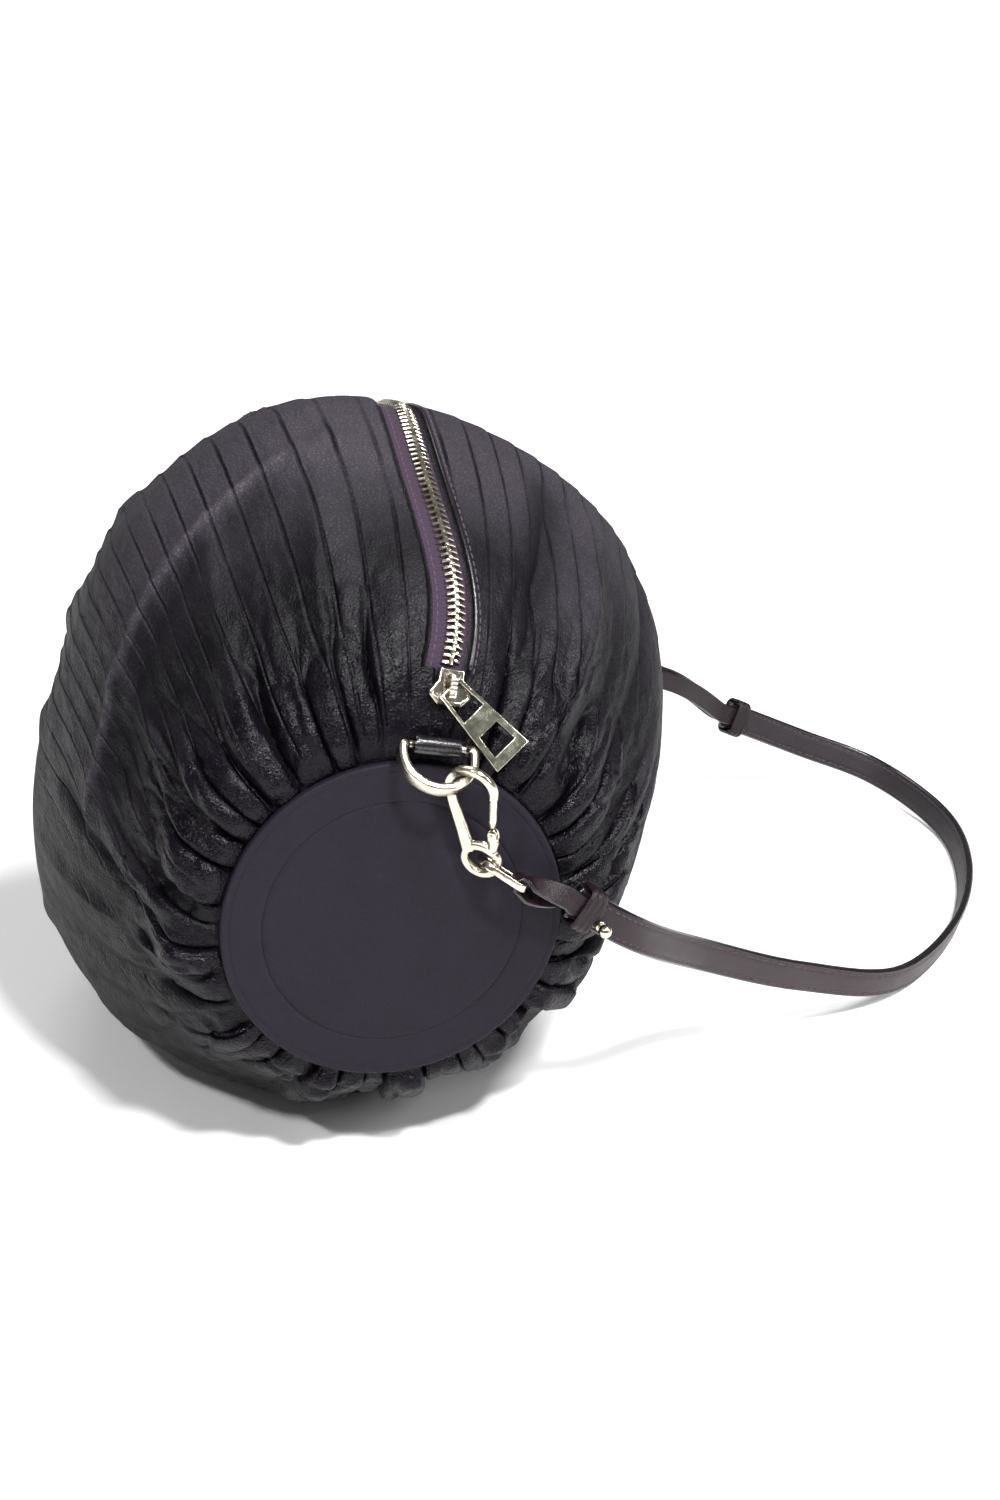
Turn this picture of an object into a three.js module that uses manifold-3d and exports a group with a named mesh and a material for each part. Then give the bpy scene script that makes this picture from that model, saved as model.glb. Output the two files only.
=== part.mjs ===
// Gathered leather bracelet pouch, lying on its side with its wrist strap clipped on.
// Millimetres, +Z up, resting on Z = 0. The axis of the pouch runs along Y.
import * as THREE from 'three';
import Module from 'manifold-3d';
import { mergeVertices } from 'three/addons/utils/BufferGeometryUtils.js';

// Pouch and its end discs
const HALF_LENGTH = 112;
const AXIS_HEIGHT = 100;
const BELLY_RADIUS = 145;
const PROFILE_POWER = 1.4;
const WALL = 1.8;
const LIP_WIDTH = 8;
const DISC_RADIUS = 58;
const DISC_THICKNESS = 3.2;
const DISC_EDGE_ROUND = 0.9;
const DISC_SIDES = 48;
const SEAT_GAP = 0.3;
const RIM_GAP = 0.6;

// Gathers round each disc
const GATHER_COUNT = 34;
const GATHER_DEPTH = 2.4;

// Uneven strength of the gathers round the rim: waves added to 1, turned by radians a gather
const GATHER_WAVES = [
  { share: 0.3, turn: 2.4 },
  { share: 0.2, turn: 1.1 },
];

// Zip in the top of the pouch
const ZIP_ANGLE = 11.8;
const ZIP_SWAY = 4.2;
const ZIP_SWAY_POWER = 3;
const SLIT_END_RISE = 28.13;
const SLIT_LEFT = 10;
const SLIT_RIGHT = 6.5;
const TAPE_THICKNESS = 0.8;
const TAPE_MARGIN = 4;
const CHAIN_WIDTH = 6.6;
const CHAIN_HEIGHT = 2.2;
const SLIDER_LENGTH = 12;
const SLIDER_FRONT_WIDTH = 14;
const SLIDER_BACK_WIDTH = 8.5;
const SLIDER_PLATE = 2;
const SLIDER_RIM = 1.2;
const SLIDER_NECK_SHARE = 0.4;
const SLIDER_WING_SHARE = 0.75;
const SLIDER_NOSE_SHARE = 0.6;
const BRIDGE_LENGTH = 9;
const BRIDGE_WIDTH = 2.4;
const BRIDGE_BAR = 1;
const BRIDGE_ROOM = 2.8;
const PULL_LENGTH = 30.5;
const PULL_ROOT_WIDTH = 9.6;
const PULL_END_WIDTH = 15;
const PULL_THICKNESS = 1.6;
const PULL_BORDER = 1.3;
const PULL_WINDOW_BORDER = 2.4;
const PULL_END_BORDER = 4;
const PULL_BAR = 1;
const PULL_WINDOW = 8;
const PULL_PANEL = 7;
const PULL_SWING = 50;
const PULL_LIFT = 2;

// D-ring on its leather tab
const RING_SEAT_RADIUS = 66;
const RING_SEAT_ANGLE = 12.8;
const RING_STANDOFF = 3.6;
const RING_LEAN = 54;
const RING_WIDTH = 24;
const RING_LEG = 4;
const RING_STOCK = 3;
const RING_DEPTH = 5;
const RING_CHAMFER = 0.8;
const RING_CORNER = 2.8;
const RING_BAR = 2.4;
const TAB_LENGTH = 15.5;
const TAB_WALL = 1.4;
const TAIL_TOP_TURN = 15;
const TAIL_LOW_TURN = -60;

// Snap hook with its gate
const EYE_RADIUS = 5.8;
const EYE_SIDES = 12;
const HOOK_STOCK = 3.2;
const HOOK_CHAMFER = 0.9;
const HOOK_REACH = 28.8;
const HOOK_BEND_RADIUS = 7.9;
const HOOK_TURN = 36.5;
const HOOK_ACROSS = 27.9;
const HOOK_HEIGHT = 24.4;
const HOOK_STANDOFF = 8.4;
const HOOK_LEAN_SIDE = 8.9;
const HOOK_LEAN_OUT = 10.3;
const SPINE_ROOT_TURN = 128;
const SPINE_ELBOW_ACROSS = 5.6;
const SPINE_ELBOW_UP = 13;
const ARM_ROOT_TURN = 53;
const ARM_ELBOW_ACROSS = 4.9;
const ARM_ELBOW_UP = 7.2;
const HINGE_ACROSS = 5.6;
const HINGE_UP = 12;
const HINGE_BOSS_RADIUS = 2.3;
const HINGE_PIN_RADIUS = 0.55;
const GATE_STOCK = 2.6;
const GATE_CHAMFER = 0.6;
const GATE_LUG_RADIUS = 1.5;
const GATE_LUG_THICKNESS = 1.1;
const NOSE_DROP = 2.6;
const RUNNING_GAP = 0.35;

// Link between the hook's eye and the strap
const LINK_LENGTH = 17.8;
const LINK_STOCK = 2.6;
const LINK_THICKNESS = 2.8;
const LINK_CHAMFER = 0.7;
const LINK_CORNER = 2.6;
const LINK_HOLD = 0.4;
const LINK_DROP_ANGLE = 38;
const LINK_OUT_ANGLE = 8;
const LINK_BAR_RISE = 21;
const LINK_BAR_TURN = 16;

// Wrist strap
const STRAP_WIDTH = 12;
const STRAP_THICKNESS = 3.2;
const STRAP_REACH = 286;
const STRAP_EDGE = 0.5;
const STRAP_STEP_COUNT = 46;
const TONGUE_WIDTH = 8;
const TONGUE_THICKNESS = 1.3;
const TONGUE_OVERLAP = 11.5;
const TONGUE_LAP_COUNT = 3;
const TONGUE_BEND_COUNT = 6;
const TONGUE_STEP_COUNT = 8;
const TONGUE_ROW_STEP_COUNT = 4;
const TWIST_START_SHARE = 0.1;
const TWIST_END_SHARE = 0.95;
const KEEPER_WIDTH = 7;
const KEEPER_WALL = 1.5;
const KEEPER_SETBACK = 6;
const STUD_BALL_RADIUS = 2.35;
const STUD_FLANGE_RADIUS = 1.9;
const STUD_FLANGE = 0.8;
const STUD_NECK_RADIUS = 1.1;
const STUD_NECK = 1.2;
const STUD_DOWN = 2.6;
const STUD_SIDES = 10;
const STUD_RING_COUNT = 5;

// Belly of the pouch as shares of its fullest radius, by angle from the top toward +X
const BELLY_SECTIONS = [
  { angle: 0, share: 1.0 },
  { angle: 30, share: 0.98 },
  { angle: 60, share: 0.94 },
  { angle: 90, share: 0.82 },
  { angle: 120, share: 0.78 },
  { angle: 150, share: 0.76 },
  { angle: 180, share: 0.76 },
  { angle: 210, share: 0.79 },
  { angle: 240, share: 0.79 },
  { angle: 270, share: 0.75 },
  { angle: 300, share: 0.75 },
  { angle: 330, share: 0.88 },
];

// The slit ends where the pouch has risen this far from its rim
const SLIT_END_TURN = THREE.MathUtils.radToDeg(
  Math.acos(SLIT_END_RISE / (BELLY_RADIUS - DISC_RADIUS - RIM_GAP)),
);

// Stations from the middle of the pouch to its rim: turn is 0 at the fullest place and 90
// at the rim, and gather is the share of the gather depth there
const STATIONS = [
  { turn: 22, gather: 0.05 },
  { turn: 42, gather: 0.2 },
  { turn: 58, gather: 0.6 },
  { turn: SLIT_END_TURN, gather: 1.0 },
  { turn: 82, gather: 0.9 },
  { turn: 90, gather: 0 },
];

// Height of the leather across one gather, as shares of the gather depth
const GATHER_SHAPE = [1, -0.15, -0.85];

// Main folds and dents: each a line on the leather from one place to another. Angles are in
// degrees from the top, along is a share of the half length, width and height are shares of
// the belly radius, and a dent has a height below 0.
const MAIN_FOLDS = [
  { angle: -78, along: -0.3, toAngle: 6, toAlong: -0.02, width: 0.06, height: 0.028 },
  { angle: -62, along: -0.56, toAngle: -14, toAlong: -0.32, width: 0.09, height: -0.024 },
  { angle: -12, along: -0.94, toAngle: -4, toAlong: -0.4, width: 0.05, height: 0.02 },
  { angle: -32, along: -0.9, toAngle: -22, toAlong: -0.36, width: 0.05, height: 0.022 },
  { angle: -52, along: -0.9, toAngle: -50, toAlong: -0.4, width: 0.055, height: 0.02 },
  { angle: 31, along: -0.9, toAngle: 34, toAlong: -0.22, width: 0.06, height: -0.03 },
  { angle: 45, along: -0.88, toAngle: 43, toAlong: -0.24, width: 0.05, height: 0.02 },
  { angle: 62, along: -0.8, toAngle: 58, toAlong: -0.1, width: 0.07, height: -0.026 },
  { angle: -110, along: -0.85, toAngle: -104, toAlong: -0.2, width: 0.07, height: -0.02 },
];

// Turn of the far end's folds about the axis against the near end's, in degrees
const FAR_FOLD_SHIFT = 17;

// Route of the strap from the near hook to the far one: out is a share of its reach, side of
// the half length and lift of the axis height, and lean is in degrees outward at the top
const STRAP_ROUTE = [
  { out: 0.205, side: -1.09, lift: 0.995, lean: 0 },
  { out: 0.29, side: -1.045, lift: 0.81, lean: 0 },
  { out: 0.41, side: -0.77, lift: 0.52, lean: 3 },
  { out: 0.573, side: -0.56, lift: 0.24, lean: 8 },
  { out: 0.745, side: -0.34, lift: 0.025, lean: 14 },
  { out: 0.878, side: -0.02, lift: 0, lean: 18 },
  { out: 0.969, side: 0.41, lift: 0, lean: 19 },
  { out: 0.998, side: 0.83, lift: 0.004, lean: 19 },
  { out: 0.945, side: 1.2, lift: 0.065, lean: 17 },
  { out: 0.832, side: 1.28, lift: 0.2, lean: 13 },
  { out: 0.696, side: 1.2, lift: 0.42, lean: 6 },
];

// The far tongue's route from the strap's far end to the far link, in the same shares
const FAR_TONGUE_ROUTE = [
  { out: 0.59, side: 1.045, lift: 0.68 },
  { out: 0.4, side: 1.05, lift: 0.86 },
  { out: 0.26, side: 1.075, lift: 0.98 },
];

const LEATHER = { color: 0x28242e, roughness: 0.5, metalness: 0 };
const DISC_LEATHER = { color: 0x3a3641, roughness: 0.62, metalness: 0 };
const STRAP_LEATHER = { color: 0x2b1a22, roughness: 0.48, metalness: 0 };
const TAPE_CLOTH = { color: 0x3c2840, roughness: 0.85, metalness: 0 };
const NICKEL = { color: 0xcfc8b8, roughness: 0.2, metalness: 1 };
const FULL_TURN = 2 * Math.PI;

const wasm = await Module();
wasm.setup();

function radians(degrees) {
  return degrees * Math.PI / 180;
}

function vec(x, y, z) {
  return new THREE.Vector3(x, y, z);
}

// Flat points from pairs of x and y
function flatPoints(pairs) {
  return pairs.map(([x, y]) => new THREE.Vector2(x, y));
}

function onCircle(radius, degrees) {
  return [radius * Math.cos(radians(degrees)), radius * Math.sin(radians(degrees))];
}

function signedVolume(geometry) {
  const position = geometry.getAttribute('position');
  const corner = geometry.index.array;
  const a = vec(0, 0, 0);
  const b = vec(0, 0, 0);
  const c = vec(0, 0, 0);
  let total = 0;
  for (let i = 0; i < corner.length; i += 3) {
    a.fromBufferAttribute(position, corner[i]);
    b.fromBufferAttribute(position, corner[i + 1]);
    c.fromBufferAttribute(position, corner[i + 2]);
    total += a.dot(b.cross(c)) / 6;
  }
  return total;
}

// Makes a body from its points and triangles, with its faces turned outward
function bodyFrom(points, triangles) {
  const geometry = new THREE.BufferGeometry();
  const flat = points.flatMap((p) => [p.x, p.y, p.z]);
  geometry.setAttribute('position', new THREE.Float32BufferAttribute(flat, 3));
  geometry.setIndex(triangles);
  if (signedVolume(geometry) < 0) {
    geometry.setIndex([...triangles].reverse());
  }
  geometry.computeVertexNormals();
  return geometry;
}

// Joins rings of points into one body, capped at its ends or closed on itself
function loft(rings, closed = false) {
  const count = rings[0].length;
  const triangles = [];
  const spans = closed ? rings.length : rings.length - 1;
  for (let i = 0; i < spans; i += 1) {
    const here = i * count;
    const next = ((i + 1) % rings.length) * count;
    for (let j = 0; j < count; j += 1) {
      const k = (j + 1) % count;
      triangles.push(here + j, here + k, next + k);
      triangles.push(here + j, next + k, next + j);
    }
  }
  if (!closed) {
    const last = (rings.length - 1) * count;
    for (let j = 1; j < count - 1; j += 1) {
      triangles.push(0, j + 1, j);
      triangles.push(last, last + j, last + j + 1);
    }
  }
  return bodyFrom(rings.flat(), triangles);
}

// Section with its four corners cut off, width along x and height along y
function chamferedSection(width, height, cut) {
  const x = width / 2;
  const y = height / 2;
  return flatPoints([
    [x, y - cut], [x - cut, y], [cut - x, y], [-x, y - cut],
    [-x, cut - y], [cut - x, -y], [x - cut, -y], [x, cut - y],
  ]);
}

// Plain oblong section, width along x and height along y
function oblongSection(width, height) {
  const x = width / 2;
  const y = height / 2;
  return flatPoints([[x, y], [-x, y], [-x, -y], [x, -y]]);
}

// Carries a section along a flat path in XY, its x across the path and its y along Z
function planarSweep(path, sectionAt, closed = false) {
  const rings = path.map((point, i) => {
    const before = closed ? path[(i + path.length - 1) % path.length] : path[Math.max(i - 1, 0)];
    const after = closed ? path[(i + 1) % path.length] : path[Math.min(i + 1, path.length - 1)];
    const tangent = new THREE.Vector2().subVectors(after, before).normalize();
    return sectionAt(i).map((s) => vec(
      point.x + tangent.y * s.x,
      point.y - tangent.x * s.x,
      s.y,
    ));
  });
  return loft(rings, closed);
}

function arcPoints(centreX, centreY, radius, fromDegrees, toDegrees, steps) {
  const points = [];
  for (let i = 0; i <= steps; i += 1) {
    const [x, y] = onCircle(radius, fromDegrees + (toDegrees - fromDegrees) * i / steps);
    points.push(new THREE.Vector2(centreX + x, centreY + y));
  }
  return points;
}

// Three.js geometry to a solid that can be joined and cut, and back
function toSolid(geometry) {
  const bare = geometry.clone();
  bare.deleteAttribute('normal');
  bare.deleteAttribute('uv');
  const merged = mergeVertices(bare, 1e-4);
  const vertProperties = new Float32Array(merged.getAttribute('position').array);
  const triVerts = new Uint32Array(merged.index.array);
  return new wasm.Manifold(new wasm.Mesh({ numProp: 3, vertProperties, triVerts }));
}

function fromSolid(solid) {
  const mesh = solid.getMesh();
  const geometry = new THREE.BufferGeometry();
  geometry.setAttribute('position', new THREE.BufferAttribute(mesh.vertProperties, 3));
  geometry.setIndex(new THREE.BufferAttribute(mesh.triVerts, 1));
  geometry.computeVertexNormals();
  return geometry;
}

function meshOf(name, geometry, finish) {
  const mesh = new THREE.Mesh(geometry, new THREE.MeshStandardMaterial(finish));
  mesh.name = name;
  return mesh;
}

// Group whose own axes are the three given directions, with its origin at a point
function groupAt(origin, xAxis, yAxis, zAxis) {
  const group = new THREE.Group();
  group.position.copy(origin);
  group.quaternion.setFromRotationMatrix(new THREE.Matrix4().makeBasis(xAxis, yAxis, zAxis));
  return group;
}

// The nearest direction to one that lies square to another
function squareTo(direction, other) {
  return direction.clone().addScaledVector(other, -direction.dot(other)).normalize();
}

// Radius of the pouch at its fullest for an angle, by a smooth curve through the sections
function bellyRadius(angle) {
  const count = BELLY_SECTIONS.length;
  const place = ((angle / FULL_TURN) % 1 + 1) % 1 * count;
  const i = Math.floor(place);
  const t = place - i;
  const at = (k) => BELLY_SECTIONS[(i + k + count) % count].share;
  const bend = 2 * at(-1) - 5 * at(0) + 4 * at(1) - at(2);
  const twist = 3 * at(0) - at(-1) - 3 * at(1) + at(2);
  const share = at(0) + 0.5 * t * (at(1) - at(-1) + t * (bend + t * twist));
  return BELLY_RADIUS * share;
}

const SHELL_HALF = HALF_LENGTH - DISC_THICKNESS - SEAT_GAP;
const RIM_RADIUS = DISC_RADIUS + RIM_GAP;
const LIP_RADIUS = RIM_RADIUS - LIP_WIDTH;

// Radius, place along the axis and outward direction of the smooth pouch
function profileAt(turn, angle) {
  const swell = bellyRadius(angle) - RIM_RADIUS;
  const sine = Math.sin(turn);
  const size = Math.max(Math.abs(sine), 1e-5);
  const power = 2 / PROFILE_POWER;
  const rise = -swell * sine;
  const run = SHELL_HALF * power * size ** (power - 1) * Math.cos(turn);
  const length = Math.hypot(rise, run);
  return {
    radius: RIM_RADIUS + swell * Math.cos(turn),
    along: SHELL_HALF * Math.sign(sine) * size ** power,
    outRadial: run / length,
    outAlong: -rise / length,
  };
}

// Point at a radius, place along the axis and angle, never lower than the given height
function onPouch(radius, along, angle, floor) {
  const height = AXIS_HEIGHT + radius * Math.cos(angle);
  return vec(radius * Math.sin(angle), along, Math.max(height, floor));
}

// Angle of the middle of the zip at a place along the axis
function zipAngle(along) {
  const share = Math.abs(along) / HALF_LENGTH;
  return radians(ZIP_ANGLE + ZIP_SWAY * Math.sin(Math.PI * share ** ZIP_SWAY_POWER));
}

// Height that the main folds and dents add at a place on the leather
function mainFoldLift(along, angle) {
  const degrees = (angle * 180 / Math.PI + 540) % 360 - 180;
  const arc = radians(BELLY_RADIUS);
  let lift = 0;
  for (const end of [-1, 1]) {
    const shift = end > 0 ? FAR_FOLD_SHIFT : 0;
    for (const fold of MAIN_FOLDS) {
      const from = new THREE.Vector2(arc * (fold.angle + shift), -end * HALF_LENGTH * fold.along);
      const to = new THREE.Vector2(arc * (fold.toAngle + shift), -end * HALF_LENGTH * fold.toAlong);
      const place = new THREE.Vector2(arc * degrees, along);
      const line = to.clone().sub(from);
      const share = THREE.MathUtils.clamp(place.clone().sub(from).dot(line) / line.lengthSq(), 0, 1);
      const distance = place.distanceTo(from.clone().addScaledVector(line, share));
      const spread = distance / (BELLY_RADIUS * fold.width);
      lift += BELLY_RADIUS * fold.height * Math.exp(-spread * spread);
    }
  }
  return lift;
}

// Rows of the pouch from the near rim to the far one
function pouchRows() {
  const far = STATIONS.map((s) => ({ turn: radians(s.turn), gather: s.gather }));
  const near = far.map((s) => ({ turn: -s.turn, gather: s.gather })).reverse();
  return [...near, { turn: 0, gather: 0 }, ...far];
}

const ROWS = pouchRows();
const SLIT_FIRST_ROW = 2;
const SLIT_LAST_ROW = ROWS.length - 3;
const COLUMNS = GATHER_COUNT * GATHER_SHAPE.length;

// Share of the full folds at a distance from the middle of the zip's edge: none beside it
function foldShare(arcFromZip) {
  return THREE.MathUtils.smoothstep(arcFromZip, 2 * TAPE_MARGIN, 4 * TAPE_MARGIN);
}

// Point of the leather in a row and column, at a depth below its outer face. Column 0 is
// the right edge of the slit and the last column its left edge.
function leatherPoint(row, column, depth) {
  const rough = profileAt(row.turn, radians(ZIP_ANGLE));
  const middle = zipAngle(rough.along);
  const start = middle + SLIT_RIGHT / rough.radius;
  const sweep = FULL_TURN - (SLIT_RIGHT + SLIT_LEFT) / rough.radius;
  const share = column / COLUMNS;
  const angle = start + sweep * share;
  const profile = profileAt(row.turn, angle);
  const arcFromZip = profile.radius * sweep * Math.min(share, 1 - share);
  const gather = Math.floor(column / GATHER_SHAPE.length);
  const strength = GATHER_WAVES.reduce((sum, wave) => sum + wave.share * Math.sin(wave.turn * gather), 1);
  const shape = GATHER_SHAPE[column % GATHER_SHAPE.length];
  const gathers = GATHER_DEPTH * row.gather * strength * shape;
  const reach = Math.sqrt(Math.cos(row.turn));
  const lift = foldShare(arcFromZip) * (gathers + reach * mainFoldLift(profile.along, angle));
  const offset = lift - depth;
  return onPouch(
    profile.radius + offset * profile.outRadial,
    profile.along + offset * profile.outAlong,
    angle,
    depth,
  );
}

// Point of the inner edge of the leather that is turned in behind an end disc
function lipPoint(end, column, depth) {
  const row = end < 0 ? ROWS[0] : ROWS[ROWS.length - 1];
  const rim = leatherPoint(row, column, 0);
  const angle = Math.atan2(rim.x, rim.z - AXIS_HEIGHT);
  return onPouch(LIP_RADIUS, end * (SHELL_HALF - depth), angle, depth);
}

// Gathered leather wall of the pouch, open at both ends and along the zip
function pouchGeometry() {
  const grid = [];
  grid.push({ at: (j, depth) => lipPoint(-1, j, depth) });
  ROWS.forEach((row) => grid.push({ at: (j, depth) => leatherPoint(row, j, depth) }));
  grid.push({ at: (j, depth) => lipPoint(1, j, depth) });
  const width = COLUMNS + 1;
  const points = [];
  for (const depth of [0, WALL]) {
    for (const line of grid) {
      for (let j = 0; j < width; j += 1) {
        points.push(line.at(j, depth));
      }
    }
  }
  const inner = grid.length * width;
  const triangles = [];
  const quad = (a, b, c, d) => triangles.push(a, b, c, a, c, d);
  const slitFirst = SLIT_FIRST_ROW + 1;
  const slitLast = SLIT_LAST_ROW + 1;
  for (let i = 0; i < grid.length - 1; i += 1) {
    const open = i >= slitFirst && i < slitLast;
    for (let j = 0; j < width; j += 1) {
      const k = (j + 1) % width;
      const a = i * width + j;
      const b = i * width + k;
      const c = (i + 1) * width + k;
      const d = (i + 1) * width + j;
      if (j < COLUMNS || !open) {
        quad(a, b, c, d);
        quad(inner + a, inner + d, inner + c, inner + b);
      } else {
        quad(a, inner + a, inner + d, d);
        quad(b, c, inner + c, inner + b);
      }
    }
  }
  const nearLip = 0;
  const farLip = (grid.length - 1) * width;
  for (let j = 0; j < width; j += 1) {
    const k = (j + 1) % width;
    quad(nearLip + j, inner + nearLip + j, inner + nearLip + k, nearLip + k);
    quad(farLip + j, farLip + k, inner + farLip + k, inner + farLip + j);
  }
  const a = slitFirst * width + COLUMNS;
  const b = slitFirst * width;
  quad(a, b, inner + b, inner + a);
  const c = slitLast * width + COLUMNS;
  const d = slitLast * width;
  quad(c, inner + c, inner + d, d);
  return bodyFrom(points, triangles);
}

// Stiff leather-covered disc with a rounded front edge
function discGeometry() {
  const front = DISC_THICKNESS;
  const profile = [
    [0, 0], [DISC_RADIUS, 0], [DISC_RADIUS, front - DISC_EDGE_ROUND],
    [DISC_RADIUS - DISC_EDGE_ROUND, front], [0, front],
  ];
  return new THREE.LatheGeometry(flatPoints(profile), DISC_SIDES);
}

function endDisc(name, end) {
  const disc = meshOf(name, discGeometry(), DISC_LEATHER);
  disc.rotation.x = end < 0 ? Math.PI : 0;
  disc.position.set(0, end * (HALF_LENGTH - DISC_THICKNESS), AXIS_HEIGHT);
  return disc;
}

// Band that follows the zip below the leather's outer face, between two offsets across it
function zipBand(left, right, topDepth, bottomDepth) {
  const rings = [];
  for (let i = SLIT_FIRST_ROW; i <= SLIT_LAST_ROW; i += 1) {
    const turn = ROWS[i].turn;
    const rough = profileAt(turn, radians(ZIP_ANGLE));
    const middle = zipAngle(rough.along);
    const corner = (across, depth) => {
      const angle = middle + across / rough.radius;
      const profile = profileAt(turn, angle);
      return onPouch(
        profile.radius - depth * profile.outRadial,
        profile.along - depth * profile.outAlong,
        angle,
        depth,
      );
    };
    rings.push([
      corner(left, topDepth), corner(0, topDepth), corner(right, topDepth),
      corner(right, bottomDepth), corner(0, bottomDepth), corner(left, bottomDepth),
    ]);
  }
  return loft(rings);
}

const TAPE_TOP = WALL + 1.5 * SEAT_GAP;
const CHAIN_TOP = TAPE_TOP - SEAT_GAP - CHAIN_HEIGHT;

function zipTape() {
  const left = -SLIT_LEFT - TAPE_MARGIN;
  const right = SLIT_RIGHT + TAPE_MARGIN;
  const band = zipBand(left, right, TAPE_TOP, TAPE_TOP + TAPE_THICKNESS);
  return meshOf('zip_tape', band, TAPE_CLOTH);
}

function zipChain() {
  const half = CHAIN_WIDTH / 2;
  const band = zipBand(-half, half, CHAIN_TOP, TAPE_TOP - SEAT_GAP);
  return meshOf('zip_chain', band, NICKEL);
}

// Frame on the leather at the near end of the chain: origin, direction to the disc, outward
function sliderSeat() {
  const here = profileAt(ROWS[SLIT_FIRST_ROW].turn, radians(ZIP_ANGLE));
  const angle = zipAngle(here.along);
  const radial = vec(Math.sin(angle), 0, Math.cos(angle));
  const along = vec(0, 1, 0);
  const outward = radial.clone().multiplyScalar(here.outRadial).addScaledVector(along, here.outAlong);
  const forward = radial.clone().multiplyScalar(-Math.abs(here.outAlong));
  forward.addScaledVector(along, -here.outRadial).normalize();
  const origin = onPouch(here.radius, here.along, angle, 0);
  return { origin, forward, outward: squareTo(outward, forward) };
}

const SLIDER_LIFT = -CHAIN_TOP + SEAT_GAP;

// Slider plate with a raised rim each side and a bridge that holds the pull
function sliderGeometry() {
  const back = SLIDER_BACK_WIDTH / 2;
  const front = SLIDER_FRONT_WIDTH / 2;
  const length = SLIDER_LENGTH;
  const neck = length * SLIDER_NECK_SHARE;
  const wing = length * SLIDER_WING_SHARE;
  const nose = front * SLIDER_NOSE_SHARE;
  const outline = new THREE.Shape(flatPoints([
    [-back, 0], [back, 0], [back, neck], [front, wing],
    [nose, length], [-nose, length], [-front, wing], [-back, neck],
  ]));
  const plate = new THREE.ExtrudeGeometry(outline, { depth: SLIDER_PLATE, bevelEnabled: false });
  const start = (length - BRIDGE_LENGTH) / 2;
  const top = SLIDER_PLATE + BRIDGE_ROOM + BRIDGE_BAR;
  const low = SLIDER_PLATE - SLIDER_RIM;
  const end = start + BRIDGE_LENGTH;
  const bridgeOutline = new THREE.Shape(flatPoints([
    [start, low], [end, low], [end, top - BRIDGE_BAR], [end - BRIDGE_BAR, top],
    [start + BRIDGE_BAR, top], [start, top - BRIDGE_BAR],
  ]));
  const room = new THREE.Path(flatPoints([
    [start + BRIDGE_BAR, SLIDER_PLATE], [end - BRIDGE_BAR, SLIDER_PLATE],
    [end - BRIDGE_BAR, top - BRIDGE_BAR], [start + BRIDGE_BAR, top - BRIDGE_BAR],
  ]));
  bridgeOutline.holes.push(room);
  const bridge = new THREE.ExtrudeGeometry(bridgeOutline, { depth: BRIDGE_WIDTH, bevelEnabled: false });
  bridge.translate(0, 0, -BRIDGE_WIDTH / 2);
  bridge.applyMatrix4(new THREE.Matrix4().makeBasis(vec(0, 1, 0), vec(0, 0, 1), vec(1, 0, 0)));
  return fromSolid(toSolid(plate).add(toSolid(bridge)));
}

// Tapered pull with an opening at its root and a square window near its free end
function pullGeometry() {
  const reach = PULL_LENGTH;
  const half = (y) => (PULL_ROOT_WIDTH + (PULL_END_WIDTH - PULL_ROOT_WIDTH) * y / reach) / 2;
  const outline = new THREE.Shape(flatPoints([
    [-half(0), 0], [half(0), 0], [half(reach), reach], [-half(reach), reach],
  ]));
  const window = (from, to, border) => new THREE.Path(flatPoints([
    [border - half(from), from], [half(from) - border, from],
    [half(to) - border, to], [border - half(to), to],
  ]));
  const lower = reach - PULL_END_BORDER;
  const upper = lower - PULL_WINDOW;
  outline.holes.push(window(upper, lower, PULL_WINDOW_BORDER));
  outline.holes.push(window(PULL_BAR, upper - PULL_PANEL, PULL_BORDER));
  const geometry = new THREE.ExtrudeGeometry(outline, { depth: PULL_THICKNESS, bevelEnabled: false });
  geometry.translate(0, 0, -PULL_THICKNESS / 2);
  return fromSolid(toSolid(geometry));
}

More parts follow.
